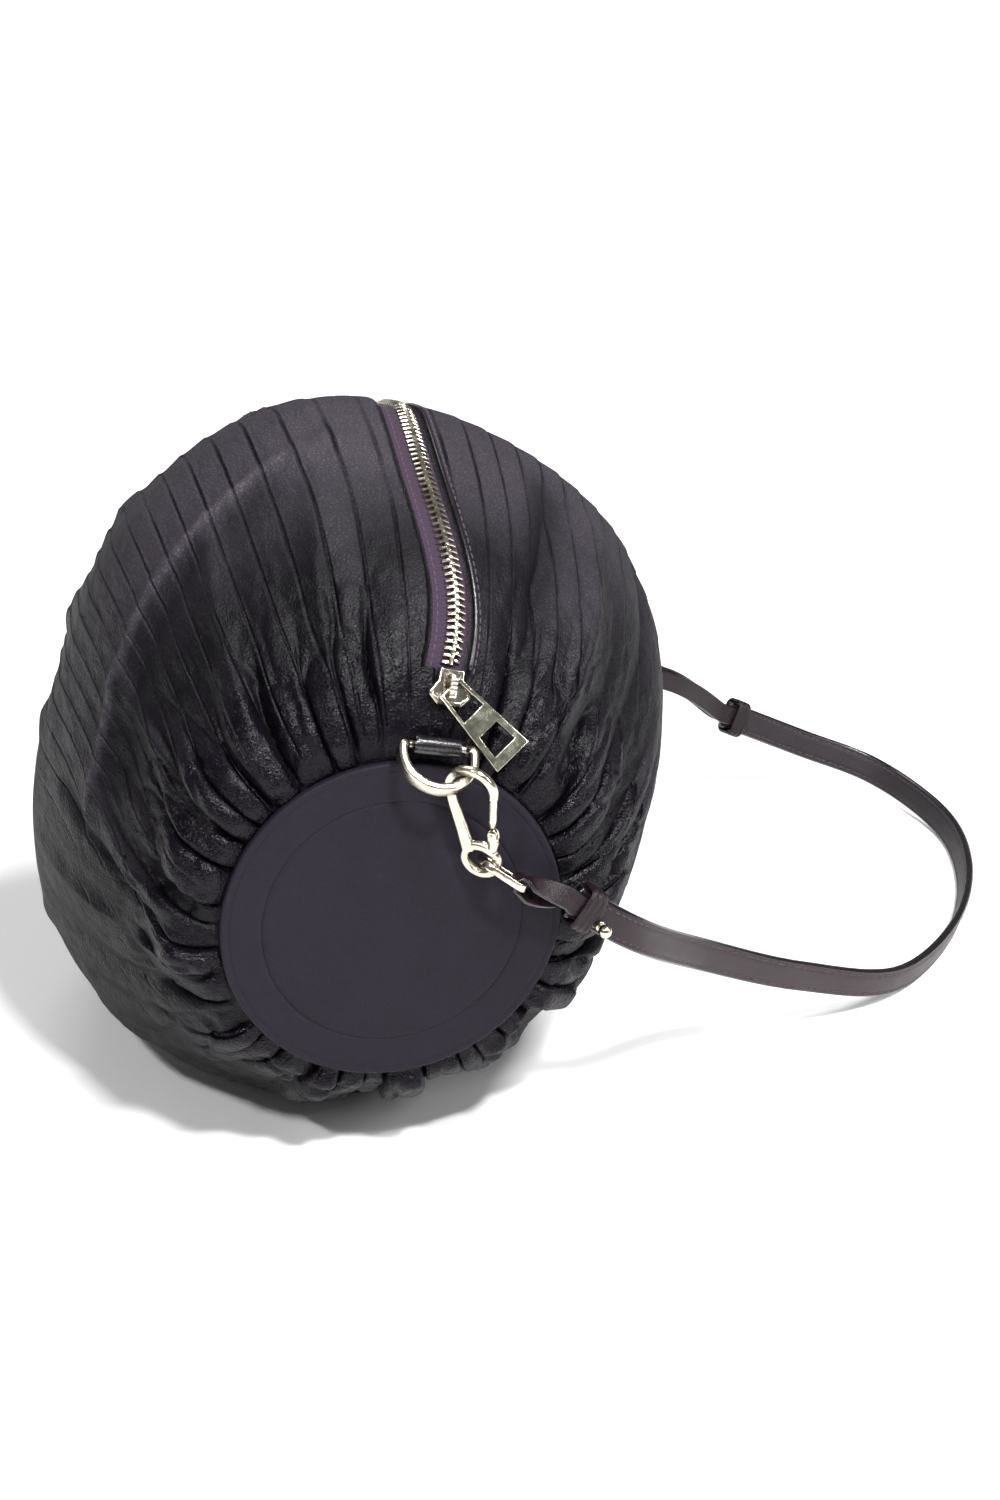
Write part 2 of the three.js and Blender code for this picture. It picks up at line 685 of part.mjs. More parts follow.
function zipSliderAndPull() {
  const seat = sliderSeat();
  const across = new THREE.Vector3().crossVectors(seat.forward, seat.outward);
  const slider = groupAt(
    seat.origin.clone().addScaledVector(seat.outward, SLIDER_LIFT),
    across,
    seat.forward,
    seat.outward,
  );
  slider.add(meshOf('zip_slider', sliderGeometry(), NICKEL));
  const swing = radians(PULL_SWING);
  const lift = radians(PULL_LIFT);
  const direction = seat.forward.clone().multiplyScalar(Math.cos(swing))
    .addScaledVector(across, -Math.sin(swing))
    .multiplyScalar(Math.cos(lift))
    .addScaledVector(seat.outward, Math.sin(lift));
  const outward = squareTo(seat.outward, direction);
  const side = new THREE.Vector3().crossVectors(direction, outward);
  const legFace = (SLIDER_LENGTH + BRIDGE_LENGTH) / 2 - BRIDGE_BAR;
  const barSweep = (PULL_BAR + Math.hypot(PULL_BAR, PULL_THICKNESS)) / 2;
  const barReach = barSweep / Math.cos(swing) + BRIDGE_WIDTH / 2 * Math.tan(swing) + RUNNING_GAP;
  const legOffset = (barReach + BRIDGE_BAR / 2) * Math.sin(swing);
  const legHalf = (BRIDGE_WIDTH * Math.cos(swing) + BRIDGE_BAR * Math.sin(swing)) / 2;
  const barHalf = BRIDGE_WIDTH / 2 / Math.cos(swing);
  const origin = slider.position.clone()
    .addScaledVector(seat.forward, legFace - barReach)
    .addScaledVector(seat.outward, SLIDER_PLATE + BRIDGE_ROOM / 2)
    .addScaledVector(side, (legOffset + legHalf - barHalf) / 2);
  const pull = groupAt(origin, side, direction, outward);
  pull.add(meshOf('zip_pull', pullGeometry(), NICKEL));
  return [slider, pull];
}

// Frame of a D-ring's bar at one end of the pouch
function ringFrame(end) {
  const angle = radians(RING_SEAT_ANGLE);
  const lean = radians(RING_LEAN);
  const radial = vec(Math.sin(angle), 0, Math.cos(angle));
  const bar = vec(Math.cos(angle), 0, -Math.sin(angle));
  const origin = radial.clone().multiplyScalar(RING_SEAT_RADIUS);
  origin.add(vec(0, end * (HALF_LENGTH + RING_STANDOFF), AXIS_HEIGHT));
  const up = radial.multiplyScalar(Math.cos(lean)).add(vec(0, -end * Math.sin(lean), 0));
  return groupAt(origin, bar, up, new THREE.Vector3().crossVectors(bar, up));
}

// D-ring of flat stock, its bar thinned where the tab holds it
function dRingGeometry() {
  const half = RING_WIDTH / 2;
  const corner = RING_CORNER;
  const path = [
    ...arcPoints(half - corner, -corner, corner, 90, 0, 2),
    ...arcPoints(0, -RING_LEG, half, 0, -180, 12),
    ...arcPoints(corner - half, -corner, corner, 180, 90, 2),
  ];
  const bar = chamferedSection(RING_BAR, RING_BAR, RING_CHAMFER);
  const band = chamferedSection(RING_STOCK, RING_DEPTH, RING_CHAMFER);
  return planarSweep(path, (i) => (i < 1 || i > path.length - 2 ? bar : band), true);
}

// Leather loop round the bar, with a tail that runs back to the rim of the pouch
function tabGeometry(end) {
  const hole = RING_BAR / 2 + 1.5 * SEAT_GAP;
  const outer = hole + TAB_WALL;
  const shape = new THREE.Shape();
  shape.absarc(0, 0, outer, 0, FULL_TURN, false);
  const bore = new THREE.Path();
  bore.absarc(0, 0, hole, 0, FULL_TURN, true);
  shape.holes.push(bore);
  const settings = { depth: TAB_LENGTH, bevelEnabled: false, curveSegments: 8 };
  const tube = toSolid(new THREE.ExtrudeGeometry(shape, settings));
  const back = HALF_LENGTH + RING_STANDOFF - SHELL_HALF - 3 * SEAT_GAP;
  const down = RING_SEAT_RADIUS - RIM_RADIUS - TAB_WALL;
  const tail = new THREE.Shape(flatPoints([
    onCircle((hole + outer) / 2, (TAIL_TOP_TURN + TAIL_LOW_TURN) / 2), onCircle(outer, TAIL_TOP_TURN),
    [back, TAB_WALL - down], [back, -down], onCircle(outer, TAIL_LOW_TURN),
  ]));
  const strip = toSolid(new THREE.ExtrudeGeometry(tail, settings));
  const geometry = fromSolid(tube.add(strip));
  geometry.translate(0, 0, -TAB_LENGTH / 2);
  const inward = vec(0, -end, 0);
  const angle = radians(RING_SEAT_ANGLE);
  const radial = vec(Math.sin(angle), 0, Math.cos(angle));
  const bar = new THREE.Vector3().crossVectors(inward, radial);
  geometry.applyMatrix4(new THREE.Matrix4().makeBasis(inward, radial, bar));
  return geometry;
}

// Frame of a snap hook: origin in its eye, x toward its gate, y along it to the bend
function hookFrame(end) {
  const turn = radians(HOOK_TURN);
  const lean = radians(HOOK_LEAN_SIDE);
  const out = radians(HOOK_LEAN_OUT);
  const origin = vec(HOOK_ACROSS, end * (HALF_LENGTH + HOOK_STANDOFF), AXIS_HEIGHT + HOOK_HEIGHT);
  const up = vec(-Math.sin(lean), end * Math.sin(out), Math.cos(lean) * Math.cos(out)).normalize();
  const across = squareTo(vec(Math.cos(turn), end * Math.sin(turn), 0), up);
  return { origin, across, up, normal: new THREE.Vector3().crossVectors(across, up) };
}

function hookGeometry() {
  const stock = chamferedSection(HOOK_STOCK, HOOK_STOCK, HOOK_CHAMFER);
  const section = () => stock;
  const side = 360 / EYE_SIDES;
  const eye = planarSweep(arcPoints(0, 0, EYE_RADIUS, 0, 360 - side, EYE_SIDES - 1), section, true);
  const bend = HOOK_BEND_RADIUS;
  const noseAngle = Math.asin(NOSE_DROP / bend) * 180 / Math.PI;
  const spine = [
    ...flatPoints([onCircle(EYE_RADIUS, SPINE_ROOT_TURN), [-SPINE_ELBOW_ACROSS, SPINE_ELBOW_UP]]),
    ...arcPoints(0, HOOK_REACH, bend, 180, -noseAngle, 9),
  ];
  const arm = flatPoints([
    onCircle(EYE_RADIUS, ARM_ROOT_TURN),
    [ARM_ELBOW_ACROSS, ARM_ELBOW_UP],
    [HINGE_ACROSS, HINGE_UP - HINGE_BOSS_RADIUS / 2],
  ]);
  const boss = new THREE.CylinderGeometry(HINGE_BOSS_RADIUS, HINGE_BOSS_RADIUS, HOOK_STOCK, 14);
  boss.rotateX(Math.PI / 2);
  boss.translate(HINGE_ACROSS, HINGE_UP, 0);
  const slotWidth = GATE_LUG_THICKNESS + 2 * RUNNING_GAP;
  const slotDrop = GATE_LUG_RADIUS + RUNNING_GAP;
  const slotHeight = slotDrop + 2 * HINGE_BOSS_RADIUS;
  const slot = new THREE.BoxGeometry(4 * HINGE_BOSS_RADIUS, slotHeight, slotWidth);
  slot.translate(HINGE_ACROSS, HINGE_UP + HINGE_BOSS_RADIUS - slotDrop / 2, 0);
  const pinLength = HOOK_STOCK - RUNNING_GAP;
  const pin = new THREE.CylinderGeometry(HINGE_PIN_RADIUS, HINGE_PIN_RADIUS, pinLength, 10);
  pin.rotateX(Math.PI / 2);
  pin.translate(HINGE_ACROSS, HINGE_UP, 0);
  const solid = toSolid(eye)
    .add(toSolid(planarSweep(spine, section)))
    .add(toSolid(planarSweep(arm, section)))
    .add(toSolid(boss))
    .subtract(toSolid(slot))
    .add(toSolid(pin));
  return fromSolid(solid);
}

// Sprung gate, from its lug on the hinge pin to the nose of the hook
function gateGeometry() {
  const top = HOOK_REACH - NOSE_DROP - RUNNING_GAP;
  const tipAcross = Math.sqrt(HOOK_BEND_RADIUS ** 2 - NOSE_DROP ** 2);
  const start = HINGE_UP + HINGE_BOSS_RADIUS + RUNNING_GAP;
  const share = (start - HINGE_UP) / (top - HINGE_UP);
  const footAcross = THREE.MathUtils.lerp(HINGE_ACROSS, tipAcross, share);
  const bar = flatPoints([[footAcross, start], [tipAcross, top]]);
  const stock = chamferedSection(GATE_STOCK, GATE_STOCK, GATE_CHAMFER);
  const lug = new THREE.CylinderGeometry(GATE_LUG_RADIUS, GATE_LUG_RADIUS, GATE_LUG_THICKNESS, 12);
  lug.rotateX(Math.PI / 2);
  const tongueReach = HINGE_BOSS_RADIUS + 3 * RUNNING_GAP;
  const tongue = new THREE.BoxGeometry(2 * GATE_LUG_RADIUS, tongueReach, GATE_LUG_THICKNESS);
  tongue.translate(0, tongueReach / 2, 0);
  const hole = new THREE.CylinderGeometry(
    HINGE_PIN_RADIUS + RUNNING_GAP,
    HINGE_PIN_RADIUS + RUNNING_GAP,
    2 * GATE_LUG_THICKNESS,
    12,
  );
  hole.rotateX(Math.PI / 2);
  const knuckle = toSolid(lug).add(toSolid(tongue)).subtract(toSolid(hole));
  const placed = fromSolid(knuckle);
  placed.translate(HINGE_ACROSS, HINGE_UP, 0);
  return fromSolid(toSolid(placed).add(toSolid(planarSweep(bar, () => stock))));
}

// Frame of the link: x from the hook's eye to the strap, y along its two bars
function linkFrame(end) {
  const hook = hookFrame(end);
  const drop = radians(LINK_DROP_ANGLE);
  const out = radians(LINK_OUT_ANGLE);
  const direction = vec(
    Math.cos(drop) * Math.cos(out),
    end * Math.sin(out),
    -Math.sin(drop) * Math.cos(out),
  ).normalize();
  const rise = radians(LINK_BAR_RISE);
  const aside = radians(LINK_BAR_TURN);
  const outward = vec(
    -Math.sin(aside) * Math.cos(rise),
    end * Math.cos(aside) * Math.cos(rise),
    Math.sin(rise),
  );
  const bars = squareTo(outward, direction);
  const inside = (EYE_RADIUS - HOOK_STOCK / 2 - LINK_STOCK / 2) * LINK_HOLD;
  const middle = inside + (LINK_LENGTH - LINK_STOCK) / 2;
  const origin = hook.origin.clone().addScaledVector(direction, middle);
  return { origin, direction, bars, normal: new THREE.Vector3().crossVectors(direction, bars) };
}

// Flat oblong link, wide enough inside for the strap's tongue
function linkGeometry() {
  const x = (LINK_LENGTH - LINK_STOCK) / 2;
  const y = TONGUE_WIDTH / 2 + 2 * SEAT_GAP + LINK_STOCK / 2;
  const r = LINK_CORNER;
  const path = [
    ...arcPoints(x - r, y - r, r, 0, 90, 2),
    ...arcPoints(r - x, y - r, r, 90, 180, 2),
    ...arcPoints(r - x, r - y, r, 180, 270, 2),
    ...arcPoints(x - r, r - y, r, 270, 360, 2),
  ];
  const stock = chamferedSection(LINK_STOCK, LINK_THICKNESS, LINK_CHAMFER);
  return planarSweep(path, () => stock, true);
}

const STRAP_REST = STRAP_WIDTH / 2 + SEAT_GAP;

function routePoint(row) {
  return vec(row.out * STRAP_REACH, row.side * HALF_LENGTH, STRAP_REST + row.lift * AXIS_HEIGHT);
}

// Direction of the strap's width: upright, leaned outward by an angle
function strapUp(tangent, lean) {
  const upright = squareTo(vec(0, 0, 1), tangent);
  const outward = new THREE.Vector3().crossVectors(tangent, upright);
  return upright.multiplyScalar(Math.cos(lean)).addScaledVector(outward, Math.sin(lean)).normalize();
}

// Places along the strap with their frames: point, tangent, width and face directions
function strapFrames(steps) {
  const curve = new THREE.CatmullRomCurve3(STRAP_ROUTE.map(routePoint), false, 'centripetal');
  const frames = [];
  for (let i = 0; i <= steps; i += 1) {
    const t = i / steps;
    const place = t * (STRAP_ROUTE.length - 1);
    const row = Math.min(Math.floor(place), STRAP_ROUTE.length - 2);
    const lean = THREE.MathUtils.lerp(STRAP_ROUTE[row].lean, STRAP_ROUTE[row + 1].lean, place - row);
    const tangent = curve.getTangent(t);
    const width = strapUp(tangent, radians(lean));
    const face = new THREE.Vector3().crossVectors(tangent, width).normalize();
    frames.push({ point: curve.getPoint(t), tangent, width, face });
  }
  return frames;
}

// Carries a section along frames, its x across the face and its y along the width
function frameSweep(frames, section) {
  return loft(frames.map((f) => section.map((s) => (
    f.point.clone().addScaledVector(f.face, s.x).addScaledVector(f.width, s.y)
  ))));
}

const STRAP_FRAMES = strapFrames(STRAP_STEP_COUNT);

function wristStrap() {
  const section = chamferedSection(STRAP_THICKNESS, STRAP_WIDTH, STRAP_EDGE);
  return meshOf('wrist_strap', frameSweep(STRAP_FRAMES, section), STRAP_LEATHER);
}

// Frame a length in from one end of the strap, with its tangent pointing off that end
function strapEndFrame(end, inset) {
  const frames = end < 0 ? STRAP_FRAMES : [...STRAP_FRAMES].reverse();
  let left = inset;
  let i = 0;
  while (i < frames.length - 2 && left > frames[i].point.distanceTo(frames[i + 1].point)) {
    left -= frames[i].point.distanceTo(frames[i + 1].point);
    i += 1;
  }
  const share = left / frames[i].point.distanceTo(frames[i + 1].point);
  const blend = (key) => frames[i][key].clone().lerp(frames[i + 1][key], share);
  const width = blend('width').normalize();
  const tangent = squareTo(blend('tangent').multiplyScalar(end < 0 ? -1 : 1), width);
  const face = new THREE.Vector3().crossVectors(tangent, width);
  return { point: blend('point'), tangent, width, face };
}

// Frames of the tongue's middle line, from inside the keeper out to the link's bar
function tongueFrames(end, midRoute) {
  const link = linkFrame(end);
  const bar = link.origin.clone().addScaledVector(link.direction, (LINK_LENGTH - LINK_STOCK) / 2);
  const frames = [];
  for (let i = 0; i < TONGUE_LAP_COUNT; i += 1) {
    frames.push(strapEndFrame(end, TONGUE_OVERLAP * (1 - i / TONGUE_LAP_COUNT)));
  }
  const first = strapEndFrame(end, 0);
  const handle = first.point.clone().addScaledVector(first.tangent, STRAP_THICKNESS);
  const lead = bar.clone().addScaledVector(link.direction, STRAP_THICKNESS);
  const points = [first.point, handle, ...midRoute.map(routePoint), lead, bar];
  const curve = new THREE.CatmullRomCurve3(points, false, 'centripetal');
  const lastWidth = link.bars.clone().multiplyScalar(-1);
  const steps = TONGUE_STEP_COUNT + TONGUE_ROW_STEP_COUNT * midRoute.length;
  for (let i = 0; i <= steps; i += 1) {
    const t = i / steps;
    const tangent = curve.getTangent(t);
    const twist = THREE.MathUtils.smoothstep(t, TWIST_START_SHARE, TWIST_END_SHARE);
    const width = squareTo(first.width.clone().lerp(lastWidth, twist), tangent);
    const face = new THREE.Vector3().crossVectors(tangent, width).normalize();
    frames.push({ point: curve.getPoint(t), tangent, width, face });
  }
  return frames;
}

// Doubled tongue: one strip from the strap's end round the link's bar and back
function tongueGeometry(end, midRoute) {
  const frames = tongueFrames(end, midRoute);
  const spread = STRAP_THICKNESS / 2 + 1.5 * SEAT_GAP + TONGUE_THICKNESS / 2;
  const turned = (frame, turn) => {
    const face = frame.face.clone().multiplyScalar(Math.cos(turn));
    face.addScaledVector(frame.tangent, Math.sin(turn));
    return { point: frame.point.clone().addScaledVector(face, spread), width: frame.width, face };
  };
  const last = frames[frames.length - 1];
  const strip = frames.map((frame) => turned(frame, 0));
  for (let i = 1; i < TONGUE_BEND_COUNT; i += 1) {
    strip.push(turned(last, Math.PI * i / TONGUE_BEND_COUNT));
  }
  strip.push(...[...frames].reverse().map((frame) => turned(frame, Math.PI)));
  const section = oblongSection(TONGUE_THICKNESS, TONGUE_WIDTH);
  return frameSweep(strip, section);
}

// Leather loop that holds the tongue and the strap's end together
function keeperGeometry() {
  const x = STRAP_THICKNESS / 2 + TONGUE_THICKNESS + 3 * SEAT_GAP + KEEPER_WALL / 2;
  const y = STRAP_WIDTH / 2 + SEAT_GAP + KEEPER_WALL / 2;
  const r = KEEPER_WALL;
  const path = [
    ...arcPoints(x - r, y - r, r, 0, 90, 2),
    ...arcPoints(r - x, y - r, r, 90, 180, 2),
    ...arcPoints(r - x, r - y, r, 180, 270, 2),
    ...arcPoints(x - r, r - y, r, 270, 360, 2),
  ];
  const section = oblongSection(KEEPER_WALL, KEEPER_WIDTH);
  return planarSweep(path, () => section, true);
}

function keeper(name, end) {
  const frame = strapEndFrame(end, KEEPER_SETBACK);
  const along = new THREE.Vector3().crossVectors(frame.face, frame.width);
  const group = groupAt(frame.point, frame.face, frame.width, along);
  group.add(meshOf(name, keeperGeometry(), STRAP_LEATHER));
  return group;
}

// Ball stud: flange, neck and ball turned as one
function studGeometry() {
  const neckTop = STUD_FLANGE + STUD_NECK;
  const centre = neckTop + Math.sqrt(STUD_BALL_RADIUS ** 2 - STUD_NECK_RADIUS ** 2);
  const bottom = Math.asin(STUD_NECK_RADIUS / STUD_BALL_RADIUS);
  const profile = [
    [0, 0], [STUD_FLANGE_RADIUS, 0], [STUD_FLANGE_RADIUS, STUD_FLANGE], [STUD_NECK_RADIUS, STUD_FLANGE],
  ];
  for (let i = 0; i < STUD_RING_COUNT; i += 1) {
    const angle = (Math.PI - bottom) * (1 - i / STUD_RING_COUNT);
    profile.push([STUD_BALL_RADIUS * Math.sin(angle), centre + STUD_BALL_RADIUS * Math.cos(angle)]);
  }
  profile.push([0, centre + STUD_BALL_RADIUS]);
  return new THREE.LatheGeometry(flatPoints(profile), STUD_SIDES);
}

function ballStud() {
  const frame = strapEndFrame(-1, TONGUE_OVERLAP + STUD_FLANGE_RADIUS + 2 * SEAT_GAP);
  const outward = frame.face.clone();
  if (outward.y > 0) {
    outward.negate();
  }
  const origin = frame.point.clone()
    .addScaledVector(outward, STRAP_THICKNESS / 2 + SEAT_GAP)
    .addScaledVector(frame.width, -STUD_DOWN);
  const side = new THREE.Vector3().crossVectors(outward, frame.width);
  const group = groupAt(origin, side, outward, new THREE.Vector3().crossVectors(side, outward));
  group.add(meshOf('ball_stud', studGeometry(), NICKEL));
  return group;
}

// Ring, tab, hook, gate and link at one end
function endHardware(end, label) {
  const ring = ringFrame(end);
  ring.add(meshOf(`d_ring_${label}`, dRingGeometry(), NICKEL));
  const tab = new THREE.Group();
  tab.position.copy(ring.position);
  tab.add(meshOf(`ring_tab_${label}`, tabGeometry(end), LEATHER));
  const hook = hookFrame(end);
  const hookGroup = groupAt(hook.origin, hook.across, hook.up, hook.normal);
  hookGroup.add(meshOf(`snap_hook_${label}`, hookGeometry(), NICKEL));
  hookGroup.add(meshOf(`hook_gate_${label}`, gateGeometry(), NICKEL));
  const link = linkFrame(end);
  const linkGroup = groupAt(link.origin, link.direction, link.bars, link.normal);
  linkGroup.add(meshOf(`strap_link_${label}`, linkGeometry(), NICKEL));
  return [ring, tab, hookGroup, linkGroup];
}

const group = new THREE.Group();
group.add(meshOf('pouch_body', pouchGeometry(), LEATHER));
group.add(endDisc('end_disc_near', -1));
group.add(endDisc('end_disc_far', 1));
group.add(zipTape());
group.add(zipChain());
group.add(...zipSliderAndPull());
group.add(...endHardware(-1, 'near'));
group.add(...endHardware(1, 'far'));
group.add(wristStrap());
group.add(meshOf('strap_tongue_near', tongueGeometry(-1, []), STRAP_LEATHER));
group.add(meshOf('strap_tongue_far', tongueGeometry(1, FAR_TONGUE_ROUTE), STRAP_LEATHER));
group.add(keeper('strap_keeper_near', -1));
group.add(keeper('strap_keeper_far', 1));
group.add(ballStud());

export default group;
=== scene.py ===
import math

import bpy
import numpy as np
from mathutils import Matrix, Vector


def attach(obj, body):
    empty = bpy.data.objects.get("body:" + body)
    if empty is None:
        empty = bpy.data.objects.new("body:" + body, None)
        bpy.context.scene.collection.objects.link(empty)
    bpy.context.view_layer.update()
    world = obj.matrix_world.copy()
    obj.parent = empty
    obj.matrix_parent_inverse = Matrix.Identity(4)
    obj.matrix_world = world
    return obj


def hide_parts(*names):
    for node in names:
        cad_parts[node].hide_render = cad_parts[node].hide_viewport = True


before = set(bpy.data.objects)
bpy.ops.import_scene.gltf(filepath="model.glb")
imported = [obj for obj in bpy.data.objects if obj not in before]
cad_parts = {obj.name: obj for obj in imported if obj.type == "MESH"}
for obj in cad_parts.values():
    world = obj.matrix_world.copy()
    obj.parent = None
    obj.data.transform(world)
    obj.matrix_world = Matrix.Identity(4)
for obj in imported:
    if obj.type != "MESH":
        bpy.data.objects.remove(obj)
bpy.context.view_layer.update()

# Looks of a gathered leather bracelet pouch that lies on its side. Sizes are in millimetres
# until a mesh is made. The axis of the pouch runs along Y and the floor is at Z = 0.
MM = 0.001
TURN = 2 * math.pi
BODY = "pouch"
ENDS = ((-1, "near"), (1, "far"))

# Camera and floor, with places in metres and the sensor in millimetres
CAMERA_PLACE = (-0.1588, -0.8921, 0.5291)
CAMERA_ELEVATION = math.radians(24.71)
CAMERA_AZIMUTH = math.radians(-14.05)
FOCAL_PIXELS = 2715.5
FRAME_HEIGHT_PIXELS = 1500
SENSOR_HEIGHT = 24.0
FLOOR_REACH = 6.0

# Light
DAYLIGHT_TOWARD = (-0.45, 0.3, -1.0)
DAYLIGHT_STRENGTH = 2.5
DAYLIGHT_SPREAD = math.radians(12)
ROOM_STRENGTH = 0.2
SOFTBOXES = (
    # name, place, target, size, watts
    ("ceiling", (0.0, 1.4, 2.4), (0.0, 0.9, 0.0), (1.0, 0.7), 18),
    ("front_key", (0.2, -1.2, 1.6), (0.0, 0.0, 0.1), (0.2, 0.12), 38),
    ("left_key", (-0.7, -1.0, 1.3), (0.0, 0.0, 0.1), (0.14, 0.1), 15),
    ("right_strip", (1.2, -0.8, 0.9), (0.05, 0.0, 0.1), (0.1, 0.5), 9),
)

# Pouch
HALF_LENGTH = 112
AXIS_HEIGHT = 100
BELLY_RADIUS = 145
PROFILE_POWER = 1.4
WALL = 1.8
LIP_WIDTH = 8
DISC_RADIUS = 58
DISC_THICKNESS = 3.2
DISC_EDGE = 1.1
DISC_SEAM = DISC_RADIUS - 2.7
TOOLED_RING = 44.2
SEAT_GAP = 0.3
RIM_RADIUS = DISC_RADIUS + 0.6
SHELL_HALF = HALF_LENGTH - DISC_THICKNESS - SEAT_GAP
BELLY_SHARES = (1.0, 0.98, 0.94, 0.82, 0.78, 0.76, 0.76, 0.79, 0.79, 0.75, 0.75, 0.88)

# Zip
ZIP_ANGLE = math.radians(11.8)
ZIP_SWAY = math.radians(4.2)
SLIT_LEFT = 10
SLIT_RIGHT = 6.5
SLIT_END_RISE = 28.13
SLIT_TURN = math.degrees(math.acos(SLIT_END_RISE / (BELLY_RADIUS - RIM_RADIUS)))
TAPE_MARGIN = 4
TAPE_TOP = WALL + 1.5 * SEAT_GAP
TAPE_THICKNESS = 0.8
CHAIN_HEIGHT = 2.2
CHAIN_TOP = TAPE_TOP - SEAT_GAP - CHAIN_HEIGHT
TOOTH_PITCH = 2.5
TOOTH_SHAPE = (
    # place across the zip, half width, share of the chain's height
    (3.3, 0.5, 0.15),
    (3.1, 0.62, 0.6),
    (1.2, 0.5, 1.0),
    (0.5, 0.62, 1.0),
    (-0.5, 0.66, 0.95),
    (-0.95, 0.45, 0.7),
)
TAPE_STITCH_ROWS = (-8.9, -6.3)
LEATHER_STITCH_ROW = 8.2
ZIP_STITCH_PITCH = 3.0
ZIP_STITCH_LENGTH = 2.2
ZIP_THREAD = 0.55
EDGE_FOLD_WIDTH = 1.5
EDGE_FOLD_HEIGHT = 1.0

# Meshes
TIP_RADIUS = 0.002
COLUMNS = 600
GAP_COLUMNS = 10
ROWS_PER_HALF = 78

# Pleat lines along the leather, its gathers at the rims, and bundles of them, in millimetres
PLEAT_LINES = 60
PLEAT_HEIGHT = 0.5
GATHERS = 38
GATHER_HEIGHT = 6.2
GATHER_REACH = 76
BUNDLES = 13
BUNDLE_HEIGHT = 6.0
BUNDLE_REACH = 92
CREASE_HEIGHT = 1.3
HANG_TURN = 0.5
HANG_REACH = 130
# Marks of the hidden hems: painted fold shade, pleat, distance from the ridge and distance from the rim
PLAIN = (0.5, 0.5, 20.0, 60.0)

# Main folds: the same lines on the leather as the solid part has, and at the end four slighter ones
FAR_FOLD_SHIFT = 17
MAIN_FOLDS = (
    # angle, along, to angle, to along, width, height
    (-80, -0.5, 0, -0.2, 0.032, 0.013),
    (-62, -0.56, -14, -0.32, 0.09, -0.024),
    (-12, -0.94, -4, -0.4, 0.05, 0.02),
    (-32, -0.9, -22, -0.36, 0.05, 0.022),
    (-52, -0.9, -50, -0.4, 0.055, 0.02),
    (31, -0.9, 34, -0.22, 0.06, -0.03),
    (45, -0.88, 43, -0.24, 0.05, 0.02),
    (62, -0.8, 58, -0.1, 0.07, -0.026),
    (-110, -0.85, -104, -0.2, 0.07, -0.02),
    (-87, -0.95, -76, -0.3, 0.035, -0.016),
    (-97, -0.95, -91, -0.1, 0.035, 0.013),
    (-120, -0.95, -114, -0.1, 0.04, -0.017),
    (-134, -0.9, -127, 0.0, 0.05, 0.012),
)


def unit(v):
    v = np.asarray(v, float)
    return v / np.linalg.norm(v)


def square_to(direction, other):
    return unit(direction - other * np.dot(direction, other))


def smooth_step(low, high, value):
    share = np.clip((value - low) / (high - low), 0, 1)
    return share * share * (3 - 2 * share)


# Node materials

class Value:
    """A socket of a material. Sums and products of values add the nodes that work them out."""

    def __init__(self, finish, socket):
        self.finish = finish
        self.socket = socket

    def math(self, operation, *terms):
        return self.finish.node("ShaderNodeMath", {"operation": operation}, dict(enumerate(terms)))

    def __add__(self, other):
        return self.math("ADD", self, other)

    __radd__ = __add__

    def __sub__(self, other):
        return self.math("SUBTRACT", self, other)

    def __rsub__(self, other):
        return self.math("SUBTRACT", other, self)

    def __mul__(self, other):
        return self.math("MULTIPLY", self, other)

    def between(self, low, high):
        """0 below low, 1 above high and a smooth step between them."""
        inputs = {"Value": self, "From Min": low, "From Max": high}
        return self.finish.node("ShaderNodeMapRange", {"interpolation_type": "SMOOTHSTEP"}, inputs)


